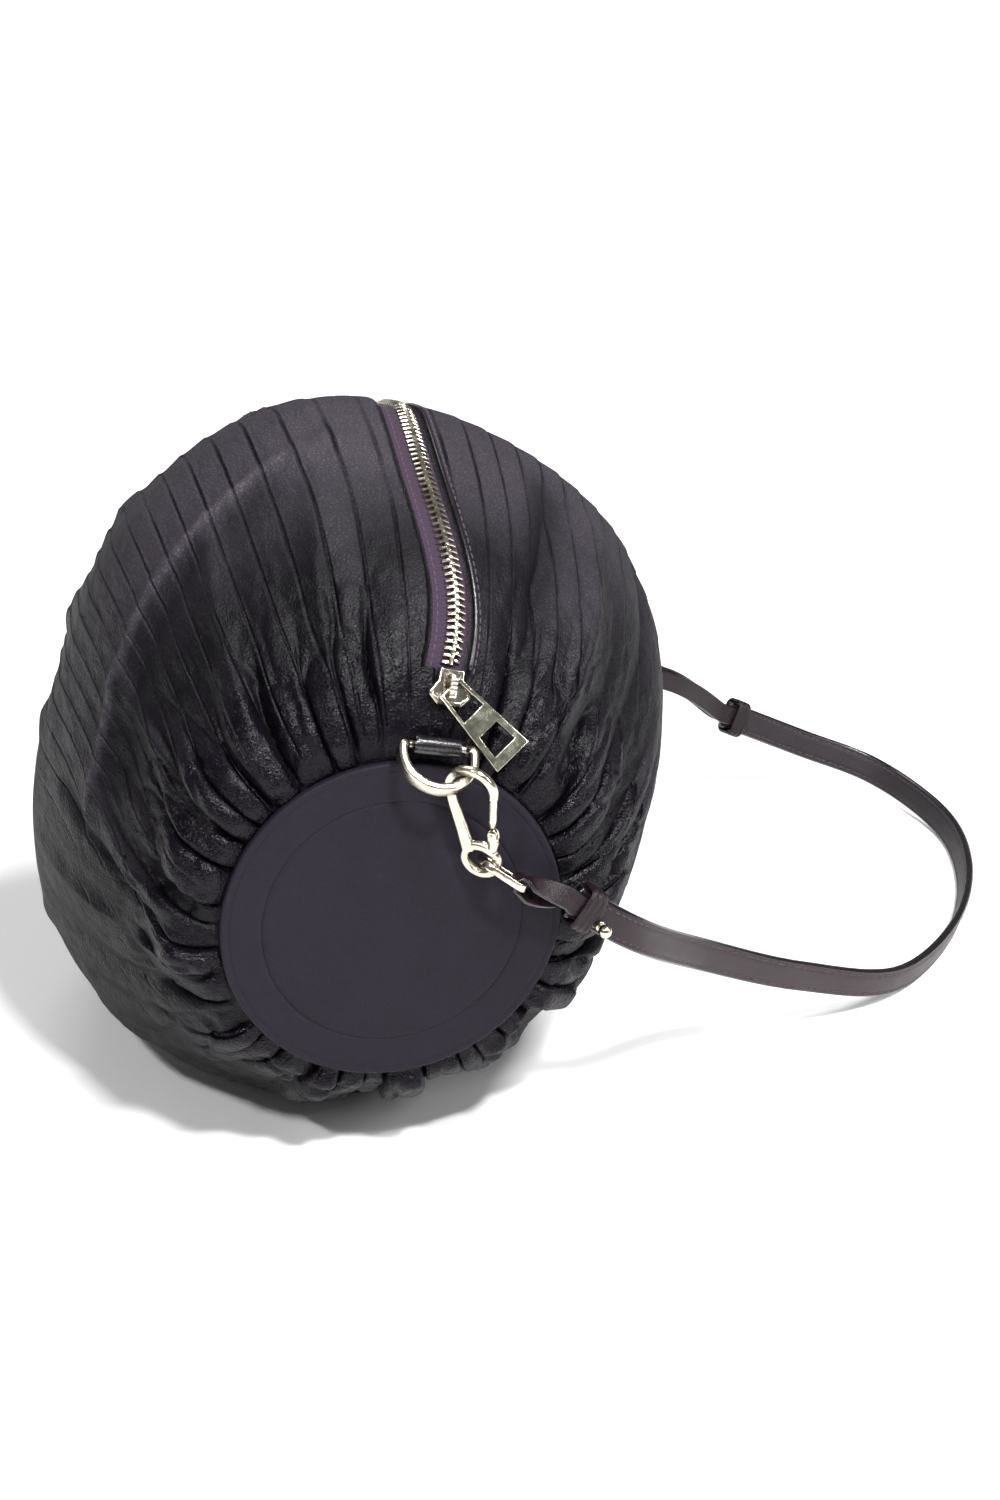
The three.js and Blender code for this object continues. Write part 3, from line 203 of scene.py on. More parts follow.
class Finish:
    """One material: its node tree and the shader that its values feed."""

    def __init__(self, name, constants):
        self.material = bpy.data.materials.new(name)
        self.material.use_nodes = True
        self.tree = self.material.node_tree
        self.shader = self.tree.nodes["Principled BSDF"]
        for socket, value in constants.items():
            self.shader.inputs[socket].default_value = value

    def node(self, kind, settings=None, inputs=None, output=0):
        node = self.tree.nodes.new(kind)
        for key, value in (settings or {}).items():
            setattr(node, key, value)
        for key, value in (inputs or {}).items():
            if isinstance(value, Value):
                self.tree.links.new(value.socket, node.inputs[key])
            else:
                node.inputs[key].default_value = value
        return Value(self, node.outputs[output])

    def place(self):
        return self.node("ShaderNodeTexCoord", output="Object")

    def attribute(self, name):
        return self.node("ShaderNodeAttribute", {"attribute_name": name}, output="Fac")

    def stretch(self, vector, scale):
        return self.node("ShaderNodeVectorMath", {"operation": "MULTIPLY"}, {0: vector, 1: scale})

    def noise(self, vector, scale, detail=2.0, roughness=0.5):
        inputs = {"Vector": vector, "Scale": scale, "Detail": detail, "Roughness": roughness}
        return self.node("ShaderNodeTexNoise", None, inputs)

    def cells(self, vector, scale):
        """Distance from the edges of random cells."""
        settings = {"feature": "DISTANCE_TO_EDGE"}
        return self.node("ShaderNodeTexVoronoi", settings, {"Vector": vector, "Scale": scale})

    def mix(self, share, low, high):
        """Goes from one colour to another. Each is a value or three numbers."""
        low, high = (c if isinstance(c, Value) else (*c, 1) for c in (low, high))
        return self.node("ShaderNodeMix", {"data_type": "RGBA"}, {0: share, 6: low, 7: high}, output=2)

    def upward(self):
        """How far the surface faces up, from -1 to 1."""
        normal = self.node("ShaderNodeNewGeometry", output="Normal")
        return self.node("ShaderNodeSeparateXYZ", None, {0: normal}, output="Z")

    def grazing(self):
        """How far the surface turns away from the viewer, which dulls its gloss."""
        edge = self.node("ShaderNodeLayerWeight", None, {"Blend": 0.4}, output="Facing")
        return edge.between(0.3, 0.85)

    def feed(self, socket, value):
        self.tree.links.new(value.socket, self.shader.inputs[socket])

    def bump(self, *layers):
        """Feeds the shader's normal from layers of height, each with its depth in metres."""
        normal = None
        for height, depth in layers:
            inputs = {"Height": height, "Distance": depth, "Strength": 1.0}
            if normal:
                inputs["Normal"] = normal
            normal = self.node("ShaderNodeBump", None, inputs)
        self.feed("Normal", normal)


def leather(name, dark, light, grain=800.0, grain_depth=0.00022, rough=(0.34, 0.55), shine=0.4, painted_top_sheen=None):
    """Grained leather: pebbles with fine pores, clouded colour, painted shade between the pebbles
    and gloss that varies. Leather with a painted top sheen is also pleated: it has pleat lines with
    painted shade in their grooves, painted shade in its valleys, the worn line of its long ridge,
    and the painted sheen colour on its flat top, where the light falls."""
    finish = Finish(name, {"Specular IOR Level": shine})
    place = finish.place()
    pebbles = finish.cells(place, grain).between(0.02, 0.34)
    small = finish.cells(place, grain * 2.1).between(0.02, 0.4)
    pores = finish.noise(place, grain * 3.2, 3.0, 0.6)
    cloud = finish.noise(place, 14.0, 3.0, 0.55).between(0.3, 0.72)
    mottle = finish.noise(place, 120.0, 3.0, 0.6).between(0.3, 0.75)
    tone = cloud * 0.5 + mottle * 0.5
    dull = mottle * 0.5 + (1 - pebbles) * 0.5
    relief = [(pebbles * 0.7 + small * 0.3, grain_depth), (pores, 0.00001)]
    if painted_top_sheen:
        pleat = finish.attribute("pleat")
        phase = pleat.math("FRACT", pleat)
        # Painted shade in the pleat lines: line darkens the colour in each pleat's groove, most on the
        # upward faces, besides bumping the groove.
        strength = 0.3 + finish.noise(place, 26.0, 2.0, 0.5).between(0.35, 0.62) * 0.7
        strength = strength * (0.12 + finish.upward().between(0.05, 0.55) * 0.88)
        press = (1 - phase.between(0.0, 0.09)) + phase.between(0.9, 1.0)
        line = 1 - press * strength
        # Painted top sheen: flat picks the upward faces away from the rims. They take the lighter sheen
        # colour where the overhead light falls.
        calm = finish.attribute("rim").between(34.0, 95.0)
        flat = finish.upward().between(0.15, 0.85) * calm
        worn = 1 - finish.attribute("ridge").between(0.3, 3.6)
        # Painted shade: the fold mark darkens the colour down in the valleys between gathers and in the
        # dents of the main folds, and roughens them there.
        valley_shade = 0.02 + finish.attribute("fold") * 0.98
        tone = tone * valley_shade * line
        dull = dull + flat * 1.6 + (1 - valley_shade) * 1.5 + finish.grazing() * 2.5
        wrinkle = finish.noise(finish.stretch(place, (1.0, 0.5, 1.0)), 170.0, 2.0, 0.4)
        relief = [(line, 0.0009), (phase * strength, 0.0004), (wrinkle, 0.0014)] + relief
    colour = finish.mix(tone, dark, light)
    if painted_top_sheen:
        # The painted top sheen colour goes on the flat top, less in the painted valley shade and pleat
        # lines. The worn ridge line takes twice that colour.
        colour = finish.mix(flat * valley_shade * line * (0.75 + cloud * 0.25), colour, painted_top_sheen)
        colour = finish.mix(worn * (0.12 + mottle * 0.24), colour, [c * 2.1 for c in painted_top_sheen])
    shaded = finish.mix((1 - pebbles) * 0.4, colour, [c * 0.5 for c in dark])
    finish.feed("Base Color", shaded)
    finish.feed("Roughness", rough[0] + dull * (rough[1] - rough[0]))
    finish.bump(*relief)
    return finish.material


def nickel(name, dark, light, rough=(0.1, 0.24)):
    """Polished plated metal with faint clouds and hairline scratches."""
    finish = Finish(name, {"Metallic": 1.0})
    place = finish.place()
    cloud = finish.noise(place, 240.0, 3.0, 0.6).between(0.3, 0.7)
    hair = finish.noise(finish.stretch(place, (1.0, 6.0, 1.0)), 2400.0, 2.0, 0.5).between(0.45, 0.62)
    finish.feed("Base Color", finish.mix(cloud, dark, light))
    finish.feed("Roughness", rough[0] + (cloud * 0.6 + hair * 0.4) * (rough[1] - rough[0]))
    finish.bump((hair, 0.000004), (cloud, 0.00002))
    return finish.material


def woven(name, dark, light, weave=1500.0, depth=0.00016):
    """Woven tape: fine ribs across and along, with loose fibres."""
    finish = Finish(name, {"Roughness": 0.85, "Sheen Weight": 0.05, "Sheen Roughness": 0.4})
    place = finish.place()

    def ribs(direction, scale, distortion):
        inputs = {"Vector": place, "Scale": scale, "Distortion": distortion, "Detail": 2.0}
        return finish.node("ShaderNodeTexWave", {"bands_direction": direction}, inputs, output="Fac")

    warp = ribs("Y", weave / 5, 0.6)
    weft = ribs("DIAGONAL", weave / 4, 0.8)
    fibre = finish.noise(place, weave * 2, 3.0, 0.65)
    relief = warp * 0.5 + weft * 0.5
    tone = relief * 0.6 + fibre * 0.4
    finish.feed("Base Color", finish.mix(tone, dark, light))
    finish.bump((relief, depth), (fibre, depth * 0.5))
    return finish.material


def floor_finish():
    finish = Finish("pale floor", {"Roughness": 0.9})
    cloud = finish.noise(finish.place(), 3.0, 2.0, 0.5)
    finish.feed("Base Color", finish.mix(cloud, (0.9, 0.9, 0.9), (0.93, 0.93, 0.93)))
    return finish.material


POUCH = leather("pouch leather", (0.0012, 0.0007, 0.0020), (0.0062, 0.0036, 0.0086), grain=750.0,
                grain_depth=0.00015, rough=(0.2, 0.32), shine=0.13, painted_top_sheen=(0.064, 0.056, 0.069))
DISC = leather("disc leather", (0.0108, 0.0082, 0.0140), (0.0138, 0.0108, 0.0176), grain=1500.0,
               grain_depth=0.00004, rough=(0.55, 0.68), shine=0.12)
STRAP_FACE = leather("strap face leather", (0.006, 0.002, 0.004), (0.019, 0.006, 0.011), grain=1300.0,
                     grain_depth=0.0001, rough=(0.32, 0.46), shine=0.3)
STRAP_BACK = leather("strap back leather", (0.008, 0.005, 0.007), (0.019, 0.013, 0.017), grain=1500.0,
                     grain_depth=0.0001, rough=(0.5, 0.68))
EDGE = leather("painted edge", (0.003, 0.002, 0.003), (0.007, 0.004, 0.006), grain=500.0,
               grain_depth=0.00004, rough=(0.16, 0.28), shine=0.6)
TAB = leather("tab leather", (0.004, 0.0035, 0.005), (0.010, 0.008, 0.011), grain=900.0,
              grain_depth=0.00004, rough=(0.16, 0.28), shine=0.6)
NICKEL = nickel("pale nickel", (0.46, 0.42, 0.34), (0.68, 0.63, 0.53))
PANEL = nickel("shaded nickel", (0.20, 0.20, 0.15), (0.30, 0.30, 0.24), rough=(0.16, 0.3))
TAPE = woven("zip tape", (0.006, 0.002, 0.008), (0.036, 0.014, 0.038))
THREAD = woven("thread", (0.030, 0.014, 0.030), (0.095, 0.055, 0.095), weave=3000.0, depth=0.00005)


# Making meshes

def add_object(name, data):
    piece = bpy.data.objects.new(name, data)
    bpy.context.scene.collection.objects.link(piece)
    return piece


def mesh_from(name, shape, seat=None):
    """Mesh of a shape, which is its points in millimetres and its faces, drawn in a seat or not."""
    points, faces = shape
    points = seat.at(points) if seat else np.asarray(points)
    mesh = bpy.data.meshes.new(name)
    mesh.from_pydata([tuple(p) for p in points * MM], [], faces)
    mesh.update()
    return mesh


def as_modelled(name, model):
    """Turns an object with all that shapes it into one plain mesh, and removes the object."""
    graph = bpy.context.evaluated_depsgraph_get()
    mesh = bpy.data.meshes.new_from_object(model.evaluated_get(graph))
    bpy.data.objects.remove(model)
    mesh.name = name
    return mesh


def build(name, shape, materials, nodes=(), body=BODY, sharp=None, seat=None):
    """Makes a piece from a shape, and says what it rides on and stands for."""
    mesh = mesh_from(name, shape, seat)
    mesh.validate()
    mesh.update()
    return place_mesh(name, mesh, materials, nodes, body, sharp)


def place_mesh(name, mesh, materials, nodes=(), body=BODY, sharp=None):
    piece = add_object(name, mesh)
    for material in materials:
        mesh.materials.append(material)
    mesh.polygons.foreach_set("use_smooth", [True] * len(mesh.polygons))
    if sharp:
        mesh.set_sharp_from_angle(angle=math.radians(sharp))
    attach(piece, body)
    if nodes:
        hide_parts(*nodes)
    return piece


def loft(rings, closed=False):
    """Joins rings of points, each with the same count, into one skin, with caps if it has ends."""
    count = len(rings[0])
    faces = []
    for i in range(len(rings) if closed else len(rings) - 1):
        here = i * count
        there = (i + 1) % len(rings) * count
        for j in range(count):
            k = (j + 1) % count
            faces.append((here + j, here + k, there + k, there + j))
    if not closed:
        faces.append(tuple(range(count - 1, -1, -1)))
        last = (len(rings) - 1) * count
        faces.append(tuple(range(last, last + count)))
    return [p for ring in rings for p in ring], faces


def arc(centre_x, centre_y, radius, start, end, steps):
    angles = [math.radians(start + (end - start) * i / steps) for i in range(steps + 1)]
    return [(centre_x + radius * math.cos(a), centre_y + radius * math.sin(a)) for a in angles]


def rounded(width, height, radius, steps=4, between=(0, 0)):
    """Outline with round corners, width along x and height along y. Its sides along x and along
    y can have so many points each between the corners."""
    x = width / 2 - radius
    y = height / 2 - radius
    corners = [arc(x, y, radius, 0, 90, steps), arc(-x, y, radius, 90, 180, steps),
               arc(-x, -y, radius, 180, 270, steps), arc(x, -y, radius, 270, 360, steps)]
    points = []
    for i, corner in enumerate(corners):
        here = np.array(corner[-1])
        there = np.array(corners[(i + 1) % 4][0])
        count = between[i % 2]
        points += corner + [tuple(here + (there - here) * k / (count + 1)) for k in range(1, count + 1)]
    return points


class Seat:
    """A place with three directions of its own, in which a piece is drawn."""

    def __init__(self, origin, x, y, z=None):
        self.origin = np.asarray(origin, float)
        self.x = unit(x)
        self.y = unit(y)
        self.z = unit(np.cross(self.x, self.y)) if z is None else unit(z)

    def at(self, points):
        points = np.asarray(points, float)
        return self.origin + points[:, :1] * self.x + points[:, 1:2] * self.y + points[:, 2:3] * self.z


def flat_sweep(path, section_at, closed=False):
    """Carries a section along a flat path in XY, its x across the path and its y along Z."""
    rings = []
    last = len(path) - 1
    for i, (px, py) in enumerate(path):
        before = path[i - 1] if closed or i else path[0]
        after = path[(i + 1) % len(path)] if closed or i < last else path[last]
        tangent = unit((after[0] - before[0], after[1] - before[1]))
        rings.append([(px + tangent[1] * x, py - tangent[0] * x, y) for x, y in section_at(i)])
    return loft(rings, closed)


def merged(*parts):
    """Joins several lists of points and faces into one."""
    points = []
    faces = []
    for part_points, part_faces in parts:
        start = len(points)
        points.extend(part_points)
        faces.extend(tuple(start + i for i in face) for face in part_faces)
    return points, faces


def turned(profile, sides):
    """Turns a profile of (radius, height) about the y axis, closed at its ends."""
    rings = []
    for radius, height in profile:
        ring = arc(0, 0, max(radius, TIP_RADIUS), 0, 360 - 360 / sides, sides - 1)
        rings.append([(x, height, z) for x, z in ring])
    return loft(rings)


def fused(name, parts, voxel, rounds, seat, materials, nodes):
    """Casts overlapping shapes into one skin with soft inner corners."""
    mould = add_object(name + "_mould", mesh_from(name, merged(*parts), seat))
    remesh = mould.modifiers.new("cast", "REMESH")
    remesh.mode = "VOXEL"
    remesh.voxel_size = voxel * MM
    soften = mould.modifiers.new("polish", "SMOOTH")
    soften.factor = 0.5
    soften.iterations = rounds
    return place_mesh(name, as_modelled(name, mould), materials, nodes)


# The smooth pouch that everything is seated on

def belly_radius(angle):
    count = len(BELLY_SHARES)
    shares = np.array(BELLY_SHARES)
    place = (np.asarray(angle) / TURN) % 1 * count
    i = np.floor(place).astype(int)
    t = place - i
    before, here, after, later = (shares[(i + k) % count] for k in (-1, 0, 1, 2))
    bend = 2 * before - 5 * here + 4 * after - later
    twist = 3 * here - before - 3 * after + later
    return BELLY_RADIUS * (here + 0.5 * t * (after - before + t * (bend + t * twist)))


def profile_at(turn, angle):
    """Radius, place along the axis and outward direction of the smooth pouch."""
    swell = belly_radius(angle) - RIM_RADIUS
    sine = np.sin(turn)
    size = np.maximum(np.abs(sine), 1e-5)
    power = 2 / PROFILE_POWER
    rise = -swell * sine
    run = SHELL_HALF * power * size ** (power - 1) * np.cos(turn)
    length = np.hypot(rise, run)
    return (RIM_RADIUS + swell * np.cos(turn), SHELL_HALF * np.sign(sine) * size ** power,
            run / length, -rise / length)


def zip_angle(along):
    share = np.abs(along) / HALF_LENGTH
    return ZIP_ANGLE + ZIP_SWAY * np.sin(np.pi * share ** 3)


def on_pouch(radius, along, angle):
    height = np.maximum(AXIS_HEIGHT + radius * np.cos(angle), 0)
    return np.stack(np.broadcast_arrays(radius * np.sin(angle), along, height), -1)


def zip_seat(turn, across, depth):
    """Point beside the middle of the zip, at a depth below the leather's outer face."""
    radius, along, _, _ = profile_at(turn, ZIP_ANGLE)
    angle = zip_angle(along) + across / radius
    radius, along, out_radial, out_along = profile_at(turn, angle)
    return on_pouch(radius - depth * out_radial, along - depth * out_along, angle)


def even_turns(first, last, step):
    """Turns from one to another, with even steps of length along the smooth pouch."""
    fine = np.linspace(first, last, 4000)
    radius, along, _, _ = profile_at(fine, ZIP_ANGLE)
    length = np.concatenate([[0], np.cumsum(np.hypot(np.diff(radius), np.diff(along)))])
    count = int(round(length[-1] / step))
    return np.interp(np.linspace(0, length[-1], count + 1), length, fine)


# Folds of the leather

def crumple(angle, reach, cells, step, seed):
    """Smooth random height from -1 to 1, with so many cells round the pouch and a step along it."""
    tall = 128
    table = np.random.default_rng(seed).uniform(-1, 1, (cells, tall))
    x = angle / TURN * cells
    y = reach / step + tall / 2
    i = np.floor(x).astype(int)
    j = np.floor(y).astype(int)
    u = smooth_step(0, 1, x - i)
    v = smooth_step(0, 1, y - j)

    def corner(di, dj):
        return table[(i + di) % cells, (j + dj) % tall]

    low = corner(0, 0) * (1 - u) + corner(1, 0) * u
    high = corner(0, 1) * (1 - u) + corner(1, 1) * u
    return low * (1 - v) + high * v


def folds(angle, edge, end, count, height, reach, sharpness, seed):
    """Rounded folds with narrow valleys, each with a height and a reach of its own. Gives their
    height, their mean height and the place across each fold."""
    random_number = np.random.default_rng(seed)
    tall = random_number.uniform(0.55, 1.4, (2, count))
    far = random_number.uniform(0.5, 1.35, (2, count))
    phase = count * angle / TURN
    index = np.floor(phase).astype(int) % count
    across = phase - np.floor(phase) - 0.5
    limit = reach * far[end, index] * (1 + 0.2 * np.abs(np.sin(angle)))
    ridge = height * tall[end, index] * (1 - smooth_step(0.15 * limit, limit, edge))
    mean = 0.66 * height * (1 - smooth_step(0.15 * reach, 1.3 * reach, edge))
    return ridge * (1 - np.abs(2 * across) ** sharpness), mean, across


def hang(angle, edge):
    """Turn of the folds toward the top as they leave the rim, where the leather hangs."""
    return HANG_TURN * np.sin(angle) * np.abs(np.sin(angle)) * smooth_step(0, HANG_REACH, edge)


def fold_places(along, angle, end):
    """Along each main fold: distance from its line, share of its length, width and height."""
    degrees = (np.degrees(angle) + 540) % 360 - 180
    arc_length = math.radians(BELLY_RADIUS)
    shift = FAR_FOLD_SHIFT if end > 0 else 0
    for fold_angle, fold_along, to_angle, to_along, width, height in MAIN_FOLDS:
        start = np.array((arc_length * (fold_angle + shift), -end * HALF_LENGTH * fold_along))
        line = np.array((arc_length * (to_angle + shift), -end * HALF_LENGTH * to_along)) - start
        dx = arc_length * degrees - start[0]
        dy = along - start[1]
        share = np.clip((dx * line[0] + dy * line[1]) / np.dot(line, line), 0, 1)
        distance = np.hypot(dx - share * line[0], dy - share * line[1])
        yield distance, share, BELLY_RADIUS * width, BELLY_RADIUS * height


def main_fold_lift(along, angle):
    lift = np.zeros_like(along + angle)
    for end, _ in ENDS:
        for distance, share, width, height in fold_places(along, angle, end):
            soft = np.exp(-(distance / width) ** 2)
            crisp = np.exp(-distance / (0.28 * width))
            ends = smooth_step(0, 0.2, share) * smooth_step(1, 0.8, share)
            lift += height * (0.7 * soft + 0.35 * crisp * ends)
    return lift


def leather_folds(angle, along, reach, edge, from_zip):
    """Height, sideways shift, painted shade and pleat of the leather. The painted shade is darker in
    the valleys between folds and in the dents of the main folds. Reach is measured from the middle
    and edge from the nearer rim, both along the leather."""
    end = np.where(along > 0, 1, 0)
    sweep = 1 + 0.15 * np.clip(-np.sin(angle), 0, 1) ** 2
    hung = angle + hang(angle, edge)
    wander = crumple(angle, reach, 13, 60, 11)
    drift = crumple(angle, reach, 26, 30, 12)
    pleat = PLEAT_LINES * hung / TURN + 0.12 * wander * smooth_step(0, 40, edge)
    uneven = 0.2 * np.sin(9 * angle + 1.3) + 0.08 * np.sin(23 * angle + 0.4)
    swayed = hung + TURN / GATHERS * (uneven + (0.5 * wander + 0.3 * drift) * smooth_step(2, 50, edge))
    gathers, gather_mean, across = folds(swayed, edge / sweep ** 0.5, end, GATHERS, GATHER_HEIGHT,
                                         GATHER_REACH, 3.0, 14)
    swayed = hung + TURN / BUNDLES * (0.3 * wander + 0.12 * drift)
    bundles, bundle_mean, _ = folds(swayed, edge / sweep, end, BUNDLES, BUNDLE_HEIGHT, BUNDLE_REACH, 2.3, 15)
    at_rim = 0.4 + 0.6 * smooth_step(0, 10, edge)
    past_rim = smooth_step(2, 34, edge)
    ripple = PLEAT_HEIGHT * (pleat - np.floor(pleat)) * smooth_step(20, 70, edge)
    ripple *= smooth_step(0.0, 0.6, np.cos(angle))

    low = np.clip(-np.cos(angle), 0, 1)
    crease = np.abs(crumple(angle, reach, 110, 24, 19) + 0.6 * crumple(angle, reach, 57, 13, 20))
    crease_zone = smooth_step(3, 16, edge) * (1 - smooth_step(40, 100, edge)) + 0.3 * low
    slump = np.abs(crumple(angle, reach, 24, 16, 21)) * low * (1 - smooth_step(60, 110, edge))

    near_zip = smooth_step(0.5, 11, from_zip) * (0.4 + 0.6 * smooth_step(4, 22, from_zip))
    lift = near_zip * (
        at_rim * (gathers - gather_mean)
        + past_rim * (bundles - bundle_mean)
        + ripple
        - CREASE_HEIGHT * crease_zone * (1 - np.minimum(crease * 3, 1))
        - 3.0 * slump
    )
    main = main_fold_lift(along, angle)
    lift += smooth_step(2 * TAPE_MARGIN, 4 * TAPE_MARGIN, from_zip) * smooth_step(0, 30, edge) * main
    fade = 1 - smooth_step(20, 75, edge)
    shift = near_zip * 1.5 * at_rim * fade * np.sin(TURN * across)
    total_mean = gather_mean + bundle_mean * past_rim
    # tone is painted shade: lower down in the valleys of the gathers and bundles, and lower again in the
    # dents of the main folds.
    tone = np.clip((gathers + bundles * past_rim + 1.2) / (total_mean + 1.2) - 0.3, 0, 1)
    tone *= 1 - 0.7 * np.clip(-main / 3, 0, 1)
    return lift, shift, tone, pleat


def ridge_distance(along, angle):
    """Distance from the long main ridge, and how strongly it shows."""
    distance, share, _, _ = next(fold_places(along, angle, -1))
    return distance + 12 * (smooth_step(0.12, 0.0, share) + smooth_step(0.88, 1.0, share))


def pouch_skin():
    """The gathered leather, turned in behind the discs and folded down along the zip."""
    half = even_turns(0, math.pi / 2, 1.0)
    spacing = 1 - (1 - np.linspace(0, 1, ROWS_PER_HALF + 1)) ** 1.18
    half = np.interp(spacing, np.linspace(0, 1, len(half)), half)
    turns = np.concatenate([-half[::-1], half[1:]])[:, None]
    radius, along, _, _ = profile_at(turns, ZIP_ANGLE)
    steps = np.hypot(np.diff(radius, axis=0), np.diff(along, axis=0))
    reach = np.concatenate([[[0.0]], np.cumsum(steps, axis=0)])
    reach -= reach[-1] / 2
    edge = reach[-1] - np.abs(reach)

    gap = (SLIT_RIGHT + SLIT_LEFT) / radius
    wrap = TURN - gap
    over_gap = 1 + np.arange(1, GAP_COLUMNS) / GAP_COLUMNS
    share = np.concatenate([np.linspace(0, 1, COLUMNS + 1), over_gap])[None, :]
    on_leather = share <= 1
    angle = zip_angle(along) + SLIT_RIGHT / radius
    angle = angle + np.where(on_leather, wrap * share, wrap + gap * (share - 1))
    reach = reach + 0 * angle
    edge = edge + 0 * angle
    smooth_radius, smooth_along, out_radial, out_along = profile_at(turns, angle)
    from_zip = smooth_radius * np.where(on_leather, wrap * np.minimum(share, 1 - share), 0)
    lift, shift, tone, pleat = leather_folds(angle, smooth_along, reach, edge, from_zip)
    ridge = ridge_distance(smooth_along, angle)
    angle = angle + shift / smooth_radius
    skin = on_pouch(smooth_radius + lift * out_radial, smooth_along + lift * out_along, angle)
    slump = np.clip(3 - skin[..., 2], 0, 3) / 3
    skin[..., 2] += 0.25 * slump * (1 + crumple(angle, reach, 90, 9, 31))

    columns = angle.shape[1]
    hems = []
    for end, rim in ((-1, skin[0]), (1, skin[-1])):
        rim_angle = np.arctan2(rim[:, 0], rim[:, 2] - AXIS_HEIGHT)
        hem = [on_pouch(RIM_RADIUS - inset, end * (SHELL_HALF - deep), rim_angle)
               for inset, deep in ((1.5, 0.1), (LIP_WIDTH, 0.2))]
        hems.append(hem[::end])
    plain = np.tile(PLAIN, (2, columns, 1))
    grid = np.concatenate([hems[0], skin, hems[1]])
    marks = np.concatenate([plain, np.stack([tone, pleat, ridge, edge], -1), plain])
    slit = np.abs(np.degrees(turns[:, 0])) < SLIT_TURN
    slit_rows = [int(i) + 2 for i in np.flatnonzero(slit)]
    faces = []
    for i in range(len(grid) - 1):
        is_open = i in slit_rows and i + 1 in slit_rows
        for j in range(COLUMNS if is_open else columns):
            k = (j + 1) % columns
            faces.append((i * columns + j, i * columns + k, (i + 1) * columns + k, (i + 1) * columns + j))
    points = list(grid.reshape(-1, 3))
    marks = list(marks.reshape(-1, len(PLAIN)))
    for column, across in ((0, SLIT_RIGHT), (COLUMNS, -SLIT_LEFT)):
        before = [i * columns + column for i in slit_rows]
        for inward, depth in ((0.35, 0.5), (0.3, WALL), (2.0, WALL + 0.2)):
            start = len(points)
            side = across - math.copysign(inward, across)
            points.extend(zip_seat(turns[i - 2, 0], side, depth) for i in slit_rows)
            marks.extend([PLAIN] * len(slit_rows))
            for n in range(len(slit_rows) - 1):
                face = (before[n], before[n + 1], start + n + 1, start + n)
                faces.append(face if column else face[::-1])
            before = list(range(start, len(points)))
    used = sorted({index for face in faces for index in face})
    renumber = {old: new for new, old in enumerate(used)}
    faces = [tuple(renumber[index] for index in face) for face in faces]
    shape = (np.array(points)[used], faces)
    piece = build("pouch_leather", shape, [POUCH], ["pouch_body"])
    marks = np.array(marks)[used].astype(np.float32)
    # The fold mark is the painted shade of valleys and dents, which darkens the leather's colour.
    for i, name in enumerate(("fold", "pleat", "ridge", "rim")):
        layer = piece.data.attributes.new(name, "FLOAT", "POINT")
        layer.data.foreach_set("value", marks[:, i].copy())


def end_disc(end, label):
    """Stiff covered disc with a rolled edge, a seam near it and one plain tooled ring."""
    front = DISC_THICKNESS
    profile = [(0, 0), (DISC_RADIUS - 0.5, 0), (DISC_RADIUS, 0.5)]
    profile += arc(DISC_RADIUS - DISC_EDGE, front - DISC_EDGE, DISC_EDGE, 0, 90, 6)
    profile += [(DISC_SEAM + 0.4, front - 0.05), (DISC_SEAM, front - 0.22), (DISC_SEAM - 0.4, front)]
    profile += [(radius, front) for radius in (54, 51, 48, 46)]
    profile += [(TOOLED_RING + 0.4, front), (TOOLED_RING, front - 0.35), (TOOLED_RING - 0.4, front)]
    profile += [(radius, front + 0.12 * (1 - radius / 44)) for radius in (42, 36, 28, 20, 12, 5, 0)]
    seat = Seat((0, end * (HALF_LENGTH - DISC_THICKNESS), AXIS_HEIGHT), (1, 0, 0), (0, end, 0))
    build(f"disc_{label}", turned(profile, 160), [DISC], [f"end_disc_{label}"], sharp=50,
          seat=seat)


# Zip

def zip_frames(step, first=-SLIT_TURN, last=SLIT_TURN):
    """Turns along the zip, each with the directions along it, across it and outward."""
    turns = even_turns(math.radians(first), math.radians(last), step)
    frames = []
    for i, turn in enumerate(turns):
        before = zip_seat(turns[max(i - 1, 0)], 0, 0)
        after = zip_seat(turns[min(i + 1, len(turns) - 1)], 0, 0)
        tangent = unit(after - before)
        side = square_to(zip_seat(turn, 2, 0) - zip_seat(turn, -2, 0), tangent)
        out = np.cross(tangent, side)
        frames.append((turn, tangent, side, out if out[2] > 0 else -out))
    return frames


def zip_tape():
    """Woven tape with a raised cord beside the teeth and a hem at the slit."""
    cord = [(3.9, 0.5), (3.1, 0.7), (2.3, 0.45)]
    offsets = [(-SLIT_LEFT - TAPE_MARGIN, 0), (-9.4, 0), (-8.4, 0.05), (-7.2, 0.12), (-6.0, 0.05)]
    offsets += [(-4.6, 0.1)] + [(-across, rise) for across, rise in cord] + [(0, 0.3)] + cord[::-1]
    offsets += [(4.6, 0.1), (5.6, 0), (SLIT_RIGHT + TAPE_MARGIN, 0)]
    rings = []
    for turn, _, _, _ in zip_frames(1.5):
        top = [zip_seat(turn, across, TAPE_TOP - rise * 0.6) for across, rise in offsets]
        under = [zip_seat(turn, across, TAPE_TOP + TAPE_THICKNESS) for across, _ in offsets[::-1]]
        rings.append(top + under)
    build("zip_cloth", loft(rings), [TAPE], ["zip_tape"])


